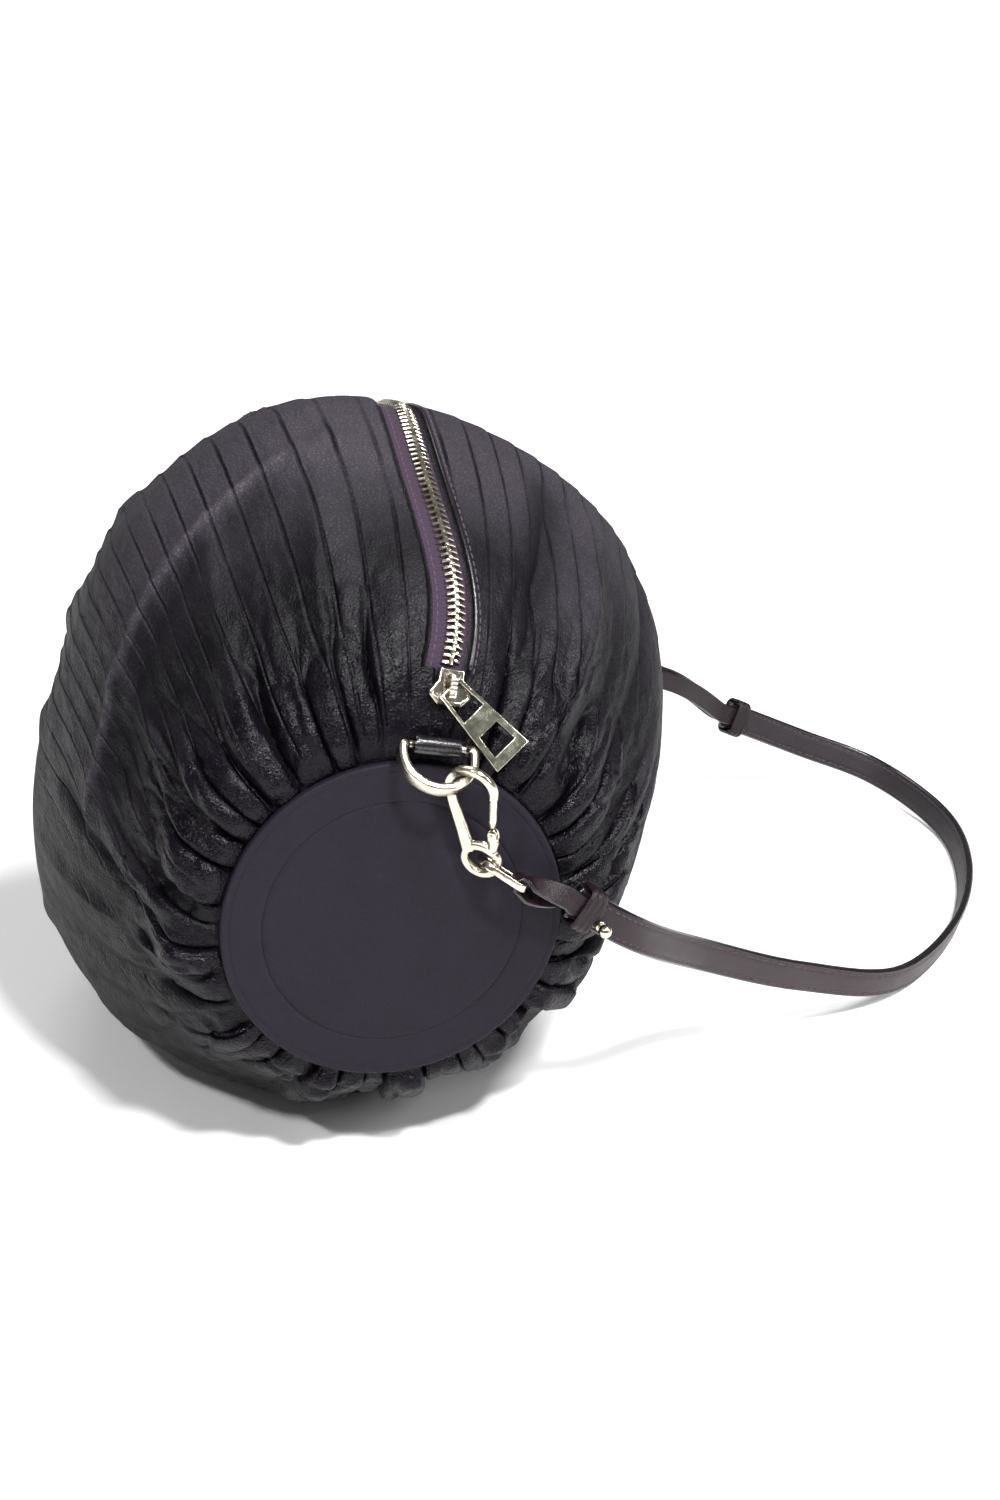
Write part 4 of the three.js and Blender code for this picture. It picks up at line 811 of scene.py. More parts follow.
def zip_teeth():
    """Two rows of metal teeth that mesh along the middle of the zip."""
    frames = zip_frames(TOOTH_PITCH / 2)
    low = TAPE_TOP - SEAT_GAP
    high = CHAIN_TOP + 0.1
    parts = []
    for i, (turn, tangent, side, out) in enumerate(frames[2:-2]):
        hand = 1 if i % 2 else -1
        base = zip_seat(turn, 0, 0)
        rings = []
        for across, half, rise in TOOTH_SHAPE:
            peak = low + (high - low) * rise
            shape = ((-half, low), (-half, peak + 0.25), (-half * 0.55, peak), (half * 0.55, peak),
                     (half, peak + 0.25), (half, low))
            rings.append([base + side * (across * hand) + tangent * x - out * depth for x, depth in shape])
        parts.append(loft(rings))
    build("zip_teeth", merged(*parts), [NICKEL], ["zip_chain"], sharp=40)


# Places along a stitch, each with its share of the thickness
STITCH_SHAPE = ((-0.5, 0.35), (-0.38, 0.85), (-0.15, 1.0), (0.15, 1.0), (0.38, 0.85), (0.5, 0.35))


def stitch_row(places, length, thickness):
    """Capsule stitches, each at a place with its direction and its outward direction."""
    parts = []
    for point, along, out in places:
        side = np.cross(along, out)
        rings = []
        for share, size in STITCH_SHAPE:
            centre = point + along * (length * share) - out * thickness * (0.4 * (2 * share) ** 2)
            ring = arc(0, 0, thickness / 2 * size, 0, 300, 5)
            rings.append([centre + side * x + out * y for x, y in ring])
        parts.append(loft(rings))
    return merged(*parts)


def zip_stitches():
    rows = []
    for across in TAPE_STITCH_ROWS + (LEATHER_STITCH_ROW,):
        depth = -0.15 if across == LEATHER_STITCH_ROW else TAPE_TOP - 0.12
        places = [(zip_seat(turn, across, depth), tangent, out)
                  for turn, tangent, _, out in zip_frames(ZIP_STITCH_PITCH, 1 - SLIT_TURN, SLIT_TURN - 1)]
        rows.append(stitch_row(places, ZIP_STITCH_LENGTH, ZIP_THREAD))
    build("zip_stitching", merged(*rows), [THREAD])


def zip_piping():
    """Narrow folded edge of the leather beside the teeth."""
    rings = []
    section = rounded(EDGE_FOLD_WIDTH, EDGE_FOLD_HEIGHT, 0.45, 3)
    for turn, _, side, out in zip_frames(2.0, 1 - SLIT_TURN, SLIT_TURN - 1):
        centre = zip_seat(turn, SLIT_RIGHT + 0.3, 0.15)
        rings.append([centre + side * x + out * y for x, y in section])
    build("zip_edge_fold", loft(rings), [TAB])


SLIDER_LENGTH = 12
SLIDER_PLATE = 2
SLIDER_HALF_WIDTH = 4.25
SLIDER_HALF_WING = 7.0
BRIDGE_LENGTH = 9
BRIDGE_WIDTH = 2.4
BRIDGE_BAR = 1
BRIDGE_ROOM = 2.8
BRIDGE_BEND = 1.2
RIB_HEIGHT = 0.22
PULL_LENGTH = 30.5
PULL_ROOT_WIDTH = 9.6
PULL_END_WIDTH = 15
PULL_THICKNESS = 1.6
PULL_BAR = 1
PULL_END_BORDER = 4
WINDOW_LENGTH = 8
WINDOW_BORDER = 2.4
PANEL_LENGTH = 7
ROOT_BORDER = 1.3
PULL_SWING = math.radians(50)
PULL_LIFT = math.radians(2)
RUNNING_GAP = 0.35


def slider_seat():
    radius, along, out_radial, out_along = profile_at(math.radians(-SLIT_TURN), ZIP_ANGLE)
    angle = float(zip_angle(along))
    radial = np.array((math.sin(angle), 0, math.cos(angle)))
    axis = np.array((0, 1, 0))
    outward = radial * out_radial + axis * out_along
    forward = unit(radial * -abs(out_along) - axis * out_radial)
    outward = square_to(outward, forward)
    origin = on_pouch(radius, along, angle) + outward * (SEAT_GAP - CHAIN_TOP)
    return Seat(origin, np.cross(forward, outward), forward, outward)


def cast_plate(name, loops, thickness, bevel, seat, materials, nodes=(), body=BODY, height=0.0):
    """Flat plate with holes and rounded edges, drawn in its seat's plane. Flat faces take the
    second material where there is one."""
    curve = bpy.data.curves.new(name, "CURVE")
    curve.dimensions = "2D"
    curve.fill_mode = "BOTH"
    curve.extrude = max(thickness / 2 - bevel, 0.01)
    curve.bevel_depth = bevel
    curve.bevel_resolution = 2
    curve.offset = -bevel
    for loop in loops:
        spline = curve.splines.new("POLY")
        spline.points.add(len(loop) - 1)
        for point, (x, y) in zip(spline.points, loop):
            point.co = (x, y, 0, 1)
        spline.use_cyclic_u = True
    mesh = as_modelled(name, add_object(name + "_blank", curve))
    flat = [abs(p.normal.z) > 0.999 for p in mesh.polygons]
    points = np.array([tuple(v.co) for v in mesh.vertices]) + np.array((0, 0, height))
    for vertex, place in zip(mesh.vertices, seat.at(points) * MM):
        vertex.co = place
    piece = place_mesh(name, mesh, materials, nodes, body, sharp=28)
    if len(materials) > 1:
        for polygon, is_flat in zip(mesh.polygons, flat):
            polygon.material_index = 1 if is_flat else 0


def zip_slider():
    """Slider: a flared plate with a raised border, and a bridge ribbed across like the real one."""
    seat = slider_seat()
    length = SLIDER_LENGTH

    def plate(inset):
        side = SLIDER_HALF_WIDTH - inset
        wing = SLIDER_HALF_WING - inset
        right = [(side, inset), (side + 0.2, length * 0.34), (wing, length * 0.66), (wing, length * 0.76),
                 (wing - 1.2, length * 0.86 - inset * 0.4), (wing * 0.6, length - inset)]
        return [(-side, inset)] + right + [(-x, y) for x, y in right[:0:-1]]

    cast_plate("slider_plate", [plate(0)], SLIDER_PLATE, 0.55, seat, [NICKEL], ["zip_slider"],
               height=SLIDER_PLATE / 2)
    cast_plate("slider_border", [plate(0.25), plate(1.25)[::-1]], 0.9, 0.3, seat, [NICKEL],
               height=SLIDER_PLATE + 0.1)
    start = (length - BRIDGE_LENGTH) / 2 + BRIDGE_BAR / 2
    end = start + BRIDGE_LENGTH - BRIDGE_BAR
    top = SLIDER_PLATE + BRIDGE_ROOM + BRIDGE_BAR / 2
    bend = BRIDGE_BEND
    path = [(start, 1.4), (start, top - 1.4)] + arc(start + bend, top - bend, bend, 180, 90, 4)
    ribs = [start + bend + (end - start - 2 * bend) * i / 16 for i in range(1, 16)]
    path += [(x, top + RIB_HEIGHT * math.cos(TURN * i / 4)) for i, x in enumerate(ribs)]
    path += arc(end - bend, top - bend, bend, 90, 0, 4) + [(end, top - 1.4), (end, 1.4)]
    section = rounded(BRIDGE_BAR, BRIDGE_WIDTH + 0.1, 0.42, 3)
    foot = rounded(BRIDGE_BAR, BRIDGE_WIDTH, 0.42, 3)
    last = len(path) - 1
    shape = flat_sweep(path, lambda i: foot if min(i, last - i) < 3 else section)
    upright = Seat(seat.origin, seat.y, seat.z, seat.x)
    build("slider_bridge", shape, [NICKEL], sharp=50, seat=upright)


def zip_pull():
    """Long tapered pull, with a window near its end and one that the bridge goes through."""
    seat = slider_seat()
    swing = PULL_SWING
    flat = seat.y * math.cos(swing) - seat.x * math.sin(swing)
    direction = flat * math.cos(PULL_LIFT) + seat.z * math.sin(PULL_LIFT)
    outward = square_to(seat.z, direction)
    side = np.cross(direction, outward)
    leg_face = (SLIDER_LENGTH + BRIDGE_LENGTH) / 2 - BRIDGE_BAR
    sweep = (PULL_BAR + math.hypot(PULL_BAR, PULL_THICKNESS)) / 2
    bar_reach = sweep / math.cos(swing) + BRIDGE_WIDTH / 2 * math.tan(swing) + RUNNING_GAP
    leg_offset = (bar_reach + BRIDGE_BAR / 2) * math.sin(swing)
    leg_half = (BRIDGE_WIDTH * math.cos(swing) + BRIDGE_BAR * math.sin(swing)) / 2
    bar_half = BRIDGE_WIDTH / 2 / math.cos(swing)
    origin = (seat.origin + seat.y * (leg_face - bar_reach) + seat.z * (SLIDER_PLATE + BRIDGE_ROOM / 2)
              + side * (leg_offset + leg_half - bar_half) / 2)
    pull = Seat(origin, side, direction, outward)

    def half(y):
        return (PULL_ROOT_WIDTH + (PULL_END_WIDTH - PULL_ROOT_WIDTH) * y / PULL_LENGTH) / 2

    def window(low, high, border):
        return [(border - half(low), low), (half(low) - border, low), (half(high) - border, high),
                (border - half(high), high)]

    outline = window(0, PULL_LENGTH, 0)
    lower = PULL_LENGTH - PULL_END_BORDER
    upper = lower - WINDOW_LENGTH
    end_window = window(upper, lower, WINDOW_BORDER)[::-1]
    root_window = window(PULL_BAR, upper - PANEL_LENGTH, ROOT_BORDER)[::-1]
    cast_plate("pull_frame", [outline, end_window, root_window], PULL_THICKNESS, 0.28, pull, [NICKEL, PANEL],
               ["zip_pull"], body="pull")


# D-ring, tab, hook, gate and link

RING_SEAT_RADIUS = 66
RING_SEAT_ANGLE = math.radians(12.8)
RING_STANDOFF = 3.6
RING_LEAN = math.radians(54)
RING_RADIAL = np.array((math.sin(RING_SEAT_ANGLE), 0, math.cos(RING_SEAT_ANGLE)))
RING_WIDTH = 24
RING_LEG = 4
RING_STOCK = 3
RING_DEPTH = 5
RING_CORNER = 2.8
RING_BAR = 2.4
TAB_LENGTH = 15.5
TAB_WALL = 1.4
# Places along the ring's bar, each with the size of the tab's outline there
TAB_EDGES = ((-0.5, 0.93), (-0.47, 0.985), (-0.44, 1.0), (0.44, 1.0), (0.47, 0.985), (0.5, 0.93))
EYE_RADIUS = 5.8
HOOK_STOCK = 3.2
HOOK_REACH = 28.8
HOOK_BEND_RADIUS = 7.9
HOOK_TURN = math.radians(36.5)
HOOK_ACROSS = 27.9
HOOK_HEIGHT = 24.4
HOOK_STANDOFF = 8.4
HOOK_LEAN_SIDE = math.radians(8.9)
HOOK_LEAN_OUT = math.radians(10.3)
HINGE_ACROSS = 5.6
HINGE_UP = 12
NOSE_DROP = 2.6
SPINE_ROOT = 5.0
SPINE_WIDTH = 3.1
GATE_STOCK = 2.6
LINK_LENGTH = 17.8
LINK_STOCK = 2.6
LINK_THICKNESS = 2.8
LINK_CORNER = 2.6
LINK_HOLD = 0.4
LINK_DROP_ANGLE = math.radians(38)
LINK_OUT_ANGLE = math.radians(8)
LINK_BAR_RISE = math.radians(21)
LINK_BAR_TURN = math.radians(16)


def ring_seat(end):
    bar = (RING_RADIAL[2], 0, -RING_RADIAL[0])
    middle = np.array((0, end * (HALF_LENGTH + RING_STANDOFF), AXIS_HEIGHT))
    up = RING_RADIAL * math.cos(RING_LEAN) - np.array((0, end, 0)) * math.sin(RING_LEAN)
    return Seat(middle + RING_RADIAL * RING_SEAT_RADIUS, bar, up)


def d_ring(end, label):
    half = RING_WIDTH / 2
    corner = RING_CORNER
    path = arc(half - corner, -corner, corner, 90, 0, 8) + arc(0, -RING_LEG, half, 0, -180, 48)
    path += arc(corner - half, -corner, corner, 180, 90, 8)
    last = len(path) - 1

    def section(i):
        share = float(smooth_step(0, 4, min(i, last - i)))
        wide = RING_BAR + (RING_STOCK - RING_BAR) * share
        deep = RING_BAR + (RING_DEPTH - RING_BAR) * share
        return rounded(wide, deep, wide * (0.49 - 0.17 * share), 5)

    build(f"ring_{label}", flat_sweep(path, section, True), [NICKEL], [f"d_ring_{label}"],
          seat=ring_seat(end))


def ring_tab(end, label):
    """Leather folded round the bar of the ring, with its tail sewn behind the rim."""
    hole = RING_BAR / 2 + 1.5 * SEAT_GAP
    outer = hole + TAB_WALL
    ring = ring_seat(end)
    seat = Seat(ring.origin, (0, -end, 0), RING_RADIAL, ring.x)
    back = HALF_LENGTH + RING_STANDOFF - SHELL_HALF - 3 * SEAT_GAP
    down = RING_SEAT_RADIUS - RIM_RADIUS - TAB_WALL
    outline = [(back, TAB_WALL + 0.4 - down)] + arc(0, 0, outer, 50, 310, 40)
    outline += [(back, -down - 0.4), (hole + 0.5, -hole * 0.4)]
    outline += arc(0, 0, hole, 310, 50, 32)[2:-2] + [(hole + 0.7, hole * 0.2)]
    rings = []
    for place, shrink in TAB_EDGES:
        sizes = [shrink if math.hypot(x, y) > outer * 0.95 else 2 - shrink for x, y in outline]
        rings.append([(x * size, y * size, place * TAB_LENGTH) for (x, y), size in zip(outline, sizes)])
    build(f"tab_{label}", loft(rings), [TAB], [f"ring_tab_{label}"], sharp=45, seat=seat)


def hook_seat(end):
    origin = (HOOK_ACROSS, end * (HALF_LENGTH + HOOK_STANDOFF), AXIS_HEIGHT + HOOK_HEIGHT)
    up = unit((-math.sin(HOOK_LEAN_SIDE), end * math.sin(HOOK_LEAN_OUT),
               math.cos(HOOK_LEAN_SIDE) * math.cos(HOOK_LEAN_OUT)))
    across = square_to(np.array((math.cos(HOOK_TURN), end * math.sin(HOOK_TURN), 0)), up)
    return Seat(origin, across, up)


def on_hinge(profile, sides):
    """Shape turned on the pin of the gate, in the directions of the hook."""
    points, faces = turned(profile, sides)
    return [(x + HINGE_ACROSS, z + HINGE_UP, y) for x, y, z in points], faces


def snap_hook(end, label):
    """Cast hook: a flat round eye, a tapered spine that bends over to the nose, and a forked arm."""
    nose = math.degrees(math.asin(NOSE_DROP / HOOK_BEND_RADIUS))
    eye = flat_sweep(arc(0, 0, EYE_RADIUS, 0, 352, 44), lambda i: rounded(3.0, HOOK_STOCK, 1.1, 4), True)
    spine_path = [(-3.9, 3.4), (-4.3, 6.0), (-4.8, 9), (-5.3, 12.6), (-6.1, 17), (-7.0, 22)]
    spine_path += arc(0, HOOK_REACH, HOOK_BEND_RADIUS, 180, -nose, 26)

    def spine_section(i):
        wide = SPINE_ROOT + (SPINE_WIDTH - SPINE_ROOT) * min(i / 6, 1)
        return rounded(wide, HOOK_STOCK - 0.1, 1.15, 4)

    spine = flat_sweep(spine_path, spine_section)
    arm_path = [(4.0, 4.0), (5.0, 5.6), (5.5, 7.6), (5.6, 9.4), (HINGE_ACROSS, 10.2)]
    arm = flat_sweep(arm_path, lambda i: rounded(3.4, HOOK_STOCK, 1.2, 4))
    web_path = [(-3.4, 5.2), (-1.0, 6.6), (1.6, 6.8), (4.2, 6.2)]
    web = flat_sweep(web_path, lambda i: rounded(3.0, 2.2, 0.9, 4))
    parts = [eye, spine, arm, web]
    for side in (-1, 1):
        cheek = flat_sweep([(5.6, 9.4), (HINGE_ACROSS, 12.2), (HINGE_ACROSS + 0.05, 13.2)],
                           lambda i: rounded((3.4, 3.2, 2.2)[i], 0.6, 0.25, 3))
        parts.append(([(x, y, z + side * 1.2) for x, y, z in cheek[0]], cheek[1]))
    fused(f"hook_{label}", parts, 0.24, 5, hook_seat(end), [NICKEL], [f"snap_hook_{label}"])
    pin = on_hinge([(0, -1.62), (0.5, -1.62), (0.6, -1.5), (0.6, 1.5), (0.5, 1.62), (0, 1.62)], 20)
    build(f"hook_pin_{label}", pin, [PANEL], sharp=40, seat=hook_seat(end))


def hook_gate(end, label):
    """Round sprung gate with its lug on the hinge pin."""
    top = HOOK_REACH - NOSE_DROP - RUNNING_GAP
    tip = math.sqrt(HOOK_BEND_RADIUS ** 2 - NOSE_DROP ** 2)
    low = HINGE_UP + 1.2
    shares = (0, 0.08, 0.16, 0.3, 0.5, 0.7, 0.86, 0.95, 1)
    sizes = (0.5, 0.55, 0.95, 1.0, 1.0, 1.0, 1.0, 0.95, 0.75)
    path = [(HINGE_ACROSS + (tip - HINGE_ACROSS) * t, low + (top - low) * t) for t in shares]

    def section(i):
        size = GATE_STOCK * sizes[i]
        deep = 1.0 if i < 2 else size
        return rounded(size, deep, min(size, deep) * 0.47, 4)

    lug = on_hinge([(0.9, -0.5), (1.4, -0.5), (1.5, -0.4), (1.5, 0.4), (1.4, 0.5), (0.9, 0.5)], 24)
    build(f"gate_{label}", merged(flat_sweep(path, section), lug), [NICKEL],
          [f"hook_gate_{label}"], body=f"gate_{label}", sharp=50, seat=hook_seat(end))


def link_seat(end):
    flat = math.cos(LINK_OUT_ANGLE)
    direction = unit((math.cos(LINK_DROP_ANGLE) * flat, end * math.sin(LINK_OUT_ANGLE),
                      -math.sin(LINK_DROP_ANGLE) * flat))
    flat = math.cos(LINK_BAR_RISE)
    bars = square_to(np.array((-math.sin(LINK_BAR_TURN) * flat, end * math.cos(LINK_BAR_TURN) * flat,
                               math.sin(LINK_BAR_RISE))), direction)
    inside = (EYE_RADIUS - HOOK_STOCK / 2 - LINK_STOCK / 2) * LINK_HOLD
    middle = inside + (LINK_LENGTH - LINK_STOCK) / 2
    return Seat(hook_seat(end).origin + direction * middle, direction, bars)


TONGUE_WIDTH = 8


def strap_link(end, label):
    path = rounded(LINK_LENGTH - LINK_STOCK, TONGUE_WIDTH + 4 * SEAT_GAP + LINK_STOCK, LINK_CORNER, 8)
    section = rounded(LINK_STOCK, LINK_THICKNESS, LINK_STOCK * 0.32)
    build(f"link_{label}", flat_sweep(path, lambda i: section, True), [NICKEL],
          [f"strap_link_{label}"], seat=link_seat(end))


# Strap

STRAP_WIDTH = 12
STRAP_THICKNESS = 3.2
STRAP_REACH = 286
STRAP_STEPS = 320
STRAP_STITCH_ROW = 3.95
STRAP_STITCH_PITCH = 3.1
STRAP_STITCH_START = 14.0
STRAP_STITCH_LENGTH = 2.1
STRAP_THREAD = 0.5
STRAP_REST = STRAP_WIDTH / 2 + SEAT_GAP
TONGUE_THICKNESS = 1.3
TONGUE_OVERLAP = 11.5
KEEPER_WIDTH = 7
KEEPER_WALL = 1.5
KEEPER_SETBACK = 6
KEEPER_CORNER = 2.2
KEEPER_FOLD = 0.22
STUD_DOWN = 2.6
STUD_FLANGE_RADIUS = 1.9
BALL_RADIUS = 2.35
BALL_HEIGHT = 4.05

STRAP_ROUTE = (
    # out, side, lift, lean
    (0.205, -1.09, 0.995, 0),
    (0.29, -1.045, 0.81, 0),
    (0.41, -0.77, 0.52, 3),
    (0.573, -0.56, 0.24, 8),
    (0.745, -0.34, 0.025, 14),
    (0.878, -0.02, 0, 18),
    (0.969, 0.41, 0, 19),
    (0.998, 0.83, 0.004, 19),
    (0.945, 1.2, 0.065, 17),
    (0.832, 1.28, 0.2, 13),
    (0.696, 1.2, 0.42, 6),
)
FAR_TONGUE_ROUTE = ((0.59, 1.045, 0.68), (0.4, 1.05, 0.86), (0.26, 1.075, 0.98))


def route_point(row):
    return np.array((row[0] * STRAP_REACH, row[1] * HALF_LENGTH, STRAP_REST + row[2] * AXIS_HEIGHT))


def curve_points(points, shares):
    """Points of a centripetal curve through the given ones, with the tangent at each."""
    points = [np.asarray(p, float) for p in points]
    count = len(points) - 1
    places = []
    tangents = []
    for share in shares:
        place = share * count
        i = min(int(place), count - 1)
        t = place - i
        p1, p2 = points[i], points[i + 1]
        p0 = points[i - 1] if i > 0 else 2 * points[0] - points[1]
        p3 = points[i + 2] if i + 2 <= count else 2 * points[count] - points[count - 1]
        d0, d1, d2 = (math.sqrt(np.linalg.norm(b - a)) for a, b in ((p0, p1), (p1, p2), (p2, p3)))
        slope_1 = ((p1 - p0) / d0 - (p2 - p0) / (d0 + d1) + (p2 - p1) / d1) * d1
        slope_2 = ((p2 - p1) / d1 - (p3 - p1) / (d1 + d2) + (p3 - p2) / d2) * d1
        bend = -3 * p1 + 3 * p2 - 2 * slope_1 - slope_2
        twist = 2 * p1 - 2 * p2 + slope_1 + slope_2
        places.append(p1 + t * (slope_1 + t * (bend + t * twist)))
        tangents.append(unit(slope_1 + t * (2 * bend + 3 * t * twist)))
    return places, tangents


class StrapFrame:
    """A place on the strap: point, tangent, and the directions of its width and its face."""

    def __init__(self, point, tangent, width):
        self.point = point
        self.tangent = tangent
        self.width = width
        self.face = unit(np.cross(tangent, width))

    def at(self, across, up):
        return self.point + self.face * across + self.width * up


def strap_frames(steps):
    shares = [i / steps for i in range(steps + 1)]
    places, tangents = curve_points([route_point(row) for row in STRAP_ROUTE], shares)
    frames = []
    for share, point, tangent in zip(shares, places, tangents):
        place = share * (len(STRAP_ROUTE) - 1)
        row = min(int(place), len(STRAP_ROUTE) - 2)
        here, there = STRAP_ROUTE[row][3], STRAP_ROUTE[row + 1][3]
        lean = math.radians(here + (there - here) * (place - row))
        upright = square_to(np.array((0, 0, 1)), tangent)
        outward = np.cross(tangent, upright)
        frames.append(StrapFrame(point, tangent, unit(upright * math.cos(lean) + outward * math.sin(lean))))
    return frames


STRAP_FRAMES = strap_frames(STRAP_STEPS)
STRAP_OUTWARD = 1 if STRAP_FRAMES[len(STRAP_FRAMES) // 2].face[0] > 0 else -1


def end_frame(end, inset):
    """Frame a length in from one end of the strap, its tangent pointing off that end."""
    frames = STRAP_FRAMES[::-end]
    for here, there in zip(frames, frames[1:]):
        length = np.linalg.norm(there.point - here.point)
        if inset <= length:
            break
        inset -= length
    share = inset / length
    point = here.point * (1 - share) + there.point * share
    width = unit(here.width * (1 - share) + there.width * share)
    return StrapFrame(point, square_to(here.tangent * end, width), width)


def wrist_strap():
    """Strap with a burgundy outer face, a plain back and painted round edges."""
    half, edge = STRAP_THICKNESS / 2, STRAP_WIDTH / 2
    side = [(x, edge + (y - half) * 0.75) for x, y in arc(0, 0, half, 90, 0, 5)]
    row = STRAP_STITCH_ROW
    places = (row + 0.25, row, row - 0.25, 2, 0, -2, 0.25 - row, -row, -row - 0.25)
    pressed = [(half + 0.02 - (0.22 if abs(y) == row else 0), y) for y in places]
    right = side + pressed + [(x, -y) for x, y in side[::-1]]
    section = right + [(-x, y) for x, y in right[::-1]][1:-1]
    rings = [[f.at(x, y) for x, y in section] for f in STRAP_FRAMES]
    piece = build("strap_leather", loft(rings), [STRAP_FACE, STRAP_BACK, EDGE],
                  ["wrist_strap"])
    count = len(section)
    for index, polygon in enumerate(piece.data.polygons):
        x, y = section[index % count]
        next_x, next_y = section[(index + 1) % count]
        if index >= count * (len(rings) - 1) or abs(y + next_y) / 2 > edge - half * 0.55:
            polygon.material_index = 2
        else:
            polygon.material_index = 0 if (x + next_x) * STRAP_OUTWARD > 0 else 1


def strap_stitches():
    rows = []
    for up in (-STRAP_STITCH_ROW, STRAP_STITCH_ROW):
        for across in (STRAP_OUTWARD, -STRAP_OUTWARD):
            places = []
            travelled = 0.0
            due = STRAP_STITCH_START
            for here, there in zip(STRAP_FRAMES[:-1], STRAP_FRAMES[1:]):
                travelled += np.linalg.norm(there.point - here.point)
                if travelled > due:
                    due += STRAP_STITCH_PITCH
                    places.append((here.at(across * (STRAP_THICKNESS / 2 - 0.02), up), here.tangent,
                                   here.face * across))
            rows.append(stitch_row(places[:-4], STRAP_STITCH_LENGTH, STRAP_THREAD))
    build("strap_stitching", merged(*rows), [THREAD])


def tongue(end, label, middle_route):
    """Doubled tongue from inside the keeper round the bar of the link and back."""
    link = link_seat(end)
    bar = link.origin + link.x * (LINK_LENGTH - LINK_STOCK) / 2
    frames = [end_frame(end, TONGUE_OVERLAP * (1 - i / 6)) for i in range(6)]
    first = end_frame(end, 0)
    handle = first.point + first.tangent * STRAP_THICKNESS
    lead = bar + link.x * STRAP_THICKNESS
    points = [first.point, handle] + [route_point(row) for row in middle_route] + [lead, bar]
    steps = 24 + 16 * len(middle_route)
    shares = [i / steps for i in range(steps + 1)]
    places, tangents = curve_points(points, shares)
    for share, place, tangent in zip(shares, places, tangents):
        twist = float(smooth_step(0.1, 0.95, share))
        width = square_to(first.width * (1 - twist) - link.y * twist, tangent)
        frames.append(StrapFrame(place, tangent, width))
    spread = STRAP_THICKNESS / 2 + 1.5 * SEAT_GAP + TONGUE_THICKNESS / 2
    section = rounded(TONGUE_THICKNESS, TONGUE_WIDTH, TONGUE_THICKNESS * 0.4, 3)
    rings = []

    def add(f, angle):
        face = f.face * math.cos(angle) + f.tangent * math.sin(angle)
        centre = f.point + face * spread
        rings.append([centre + face * x + f.width * y for x, y in section])

    for f in frames:
        add(f, 0)
    for i in range(1, 16):
        add(frames[-1], math.pi * i / 16)
    for f in frames[::-1]:
        add(f, math.pi)
    piece = build(f"tongue_{label}", loft(rings), [STRAP_FACE, EDGE],
                  [f"strap_tongue_{label}"])
    count = len(section)
    for index, polygon in enumerate(piece.data.polygons):
        place = section[index % count]
        if index < count * (len(rings) - 1) and abs(place[1]) > TONGUE_WIDTH / 2 - 0.3:
            polygon.material_index = 1


def keeper(end, label):
    """Leather loop with a slight waist and soft folds, pulled tight round strap and tongue."""
    f = end_frame(end, KEEPER_SETBACK)
    seat = Seat(f.point, f.face, f.width)
    deep = STRAP_THICKNESS + 2 * TONGUE_THICKNESS + 6 * SEAT_GAP + KEEPER_WALL
    path = rounded(deep, STRAP_WIDTH + 2 * SEAT_GAP + KEEPER_WALL, KEEPER_CORNER, 8, (3, 4))
    across = [KEEPER_WIDTH * (0.5 - i / 12) for i in range(13)]
    thick = [KEEPER_WALL / 2 * (1 - abs(2 * a / KEEPER_WIDTH) ** 6) for a in across]
    section = [(wall + KEEPER_FOLD * math.cos(a * 2.6), a) for wall, a in zip(thick, across)]
    section += [(-wall, a) for wall, a in zip(thick[::-1], across[::-1])]
    build(f"keeper_{label}", flat_sweep(path, lambda i: section, True), [STRAP_FACE],
          [f"strap_keeper_{label}"], sharp=60, seat=seat)


def ball_stud():
    f = end_frame(-1, TONGUE_OVERLAP + STUD_FLANGE_RADIUS + 2 * SEAT_GAP)
    outward = f.face if f.face[1] < 0 else -f.face
    origin = f.point + outward * (STRAP_THICKNESS / 2 + SEAT_GAP) - f.width * STUD_DOWN
    flange = STUD_FLANGE_RADIUS
    profile = [(0, 0), (1.7, 0), (flange, 0.2), (flange, 0.5), (1.6, 0.8), (1.1, 0.9), (1.1, 1.9)]
    profile += arc(0, BALL_HEIGHT, BALL_RADIUS, 32 - 90, 86, 18)
    seat = Seat(origin, np.cross(outward, f.width), outward)
    build("stud", turned(profile, 40), [NICKEL], ["ball_stud"], sharp=50, seat=seat)


# Camera, floor and light

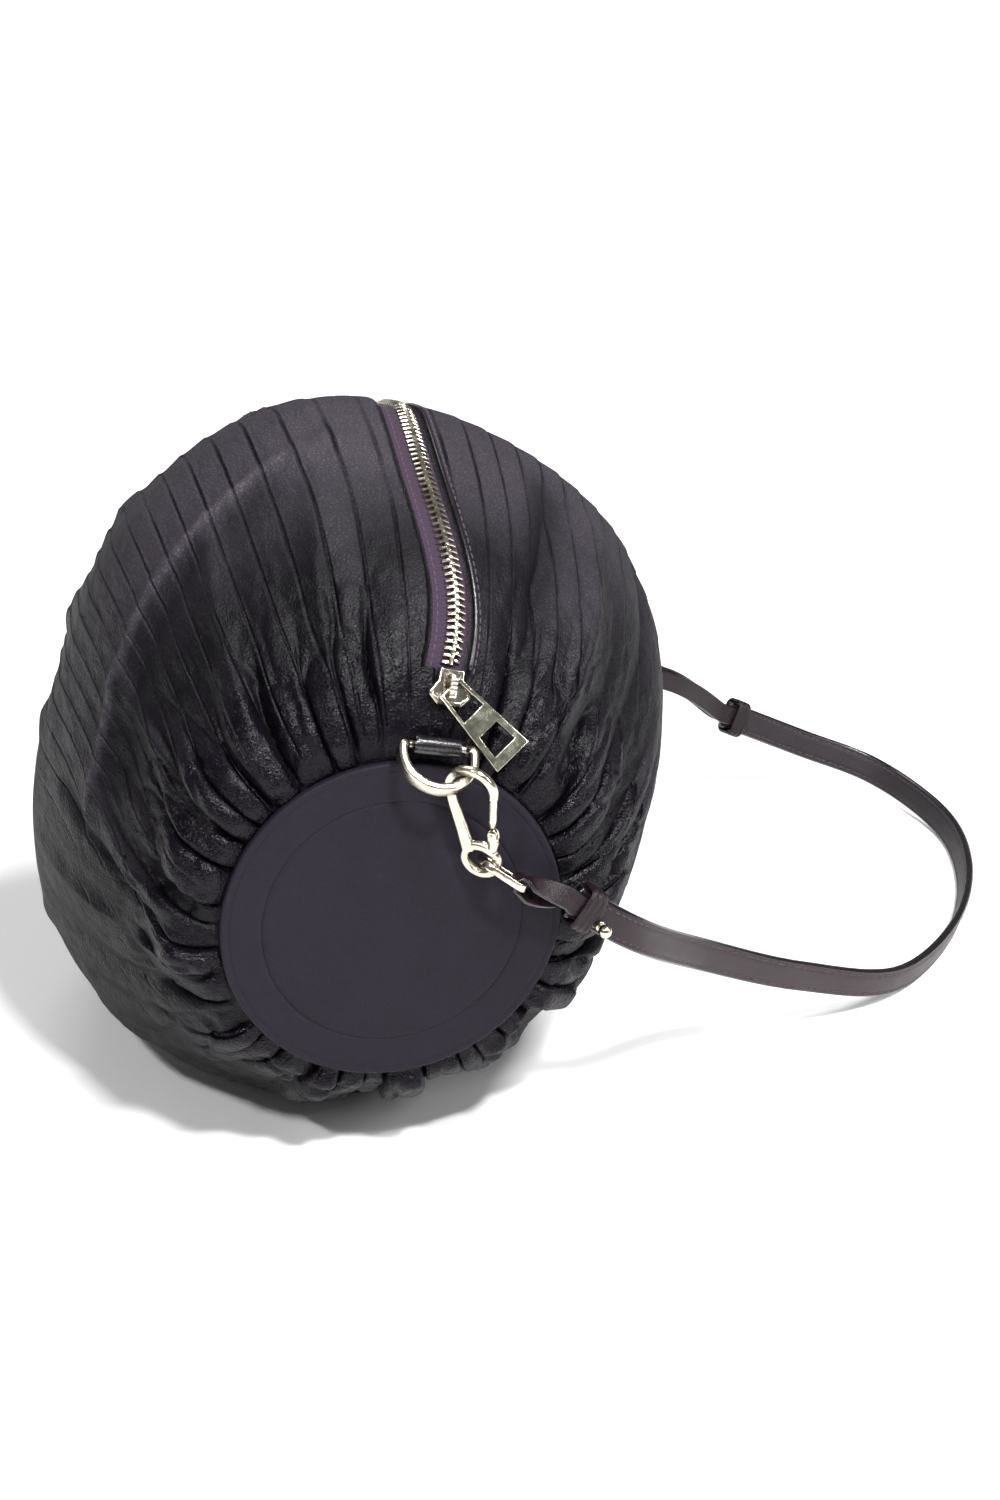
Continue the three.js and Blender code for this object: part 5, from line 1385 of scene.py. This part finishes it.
def camera():
    flat = math.cos(CAMERA_ELEVATION)
    back = Vector((math.sin(CAMERA_AZIMUTH) * flat, -math.cos(CAMERA_AZIMUTH) * flat,
                   math.sin(CAMERA_ELEVATION)))
    right = Vector((math.cos(CAMERA_AZIMUTH), math.sin(CAMERA_AZIMUTH), 0))
    up = back.cross(right)
    data = bpy.data.cameras.new("camera")
    data.sensor_fit = "VERTICAL"
    data.sensor_height = SENSOR_HEIGHT
    data.lens = FOCAL_PIXELS / FRAME_HEIGHT_PIXELS * SENSOR_HEIGHT
    data.clip_start = 0.05
    piece = add_object("camera", data)
    turn = Matrix((right, up, back)).transposed().to_4x4()
    piece.matrix_world = Matrix.Translation(Vector(CAMERA_PLACE)) @ turn
    bpy.context.scene.camera = piece


def floor():
    mesh = bpy.data.meshes.new("floor")
    corners = [(x * FLOOR_REACH, y * FLOOR_REACH, 0) for x, y in ((-1, -1), (1, -1), (1, 1), (-1, 1))]
    mesh.from_pydata(corners, [], [(0, 1, 2, 3)])
    mesh.materials.append(floor_finish())
    piece = add_object("floor", mesh)


def lamp(name, kind, place, toward, energy):
    data = bpy.data.lights.new(name, kind)
    data.energy = energy
    turn = toward.to_track_quat("-Z", "Y").to_matrix().to_4x4()
    add_object(name, data).matrix_world = Matrix.Translation(place) @ turn
    return data


def softbox(name, place, target, size, watts):
    data = lamp(name, "AREA", Vector(place), Vector(target) - Vector(place), watts)
    data.shape = "RECTANGLE"
    data.size, data.size_y = size


def daylight():
    """Even light from far off, with soft shadows."""
    data = lamp("daylight", "SUN", Vector(), Vector(DAYLIGHT_TOWARD), DAYLIGHT_STRENGTH)
    data.angle = DAYLIGHT_SPREAD


def light():
    bpy.context.scene.view_settings.view_transform = "Standard"
    daylight()
    for box in SOFTBOXES:
        softbox(*box)
    world = bpy.data.worlds.new("studio")
    world.use_nodes = True
    background = world.node_tree.nodes["Background"]
    background.inputs["Color"].default_value = (1.0, 1.0, 1.0, 1)
    background.inputs["Strength"].default_value = ROOM_STRENGTH
    bpy.context.scene.world = world


camera()
floor()
light()
pouch_skin()
zip_tape()
zip_teeth()
zip_stitches()
zip_piping()
zip_slider()
zip_pull()
for end, label in ENDS:
    end_disc(end, label)
    d_ring(end, label)
    ring_tab(end, label)
    snap_hook(end, label)
    hook_gate(end, label)
    strap_link(end, label)
    keeper(end, label)
wrist_strap()
strap_stitches()
tongue(-1, "near", ())
tongue(1, "far", FAR_TONGUE_ROUTE)
ball_stud()
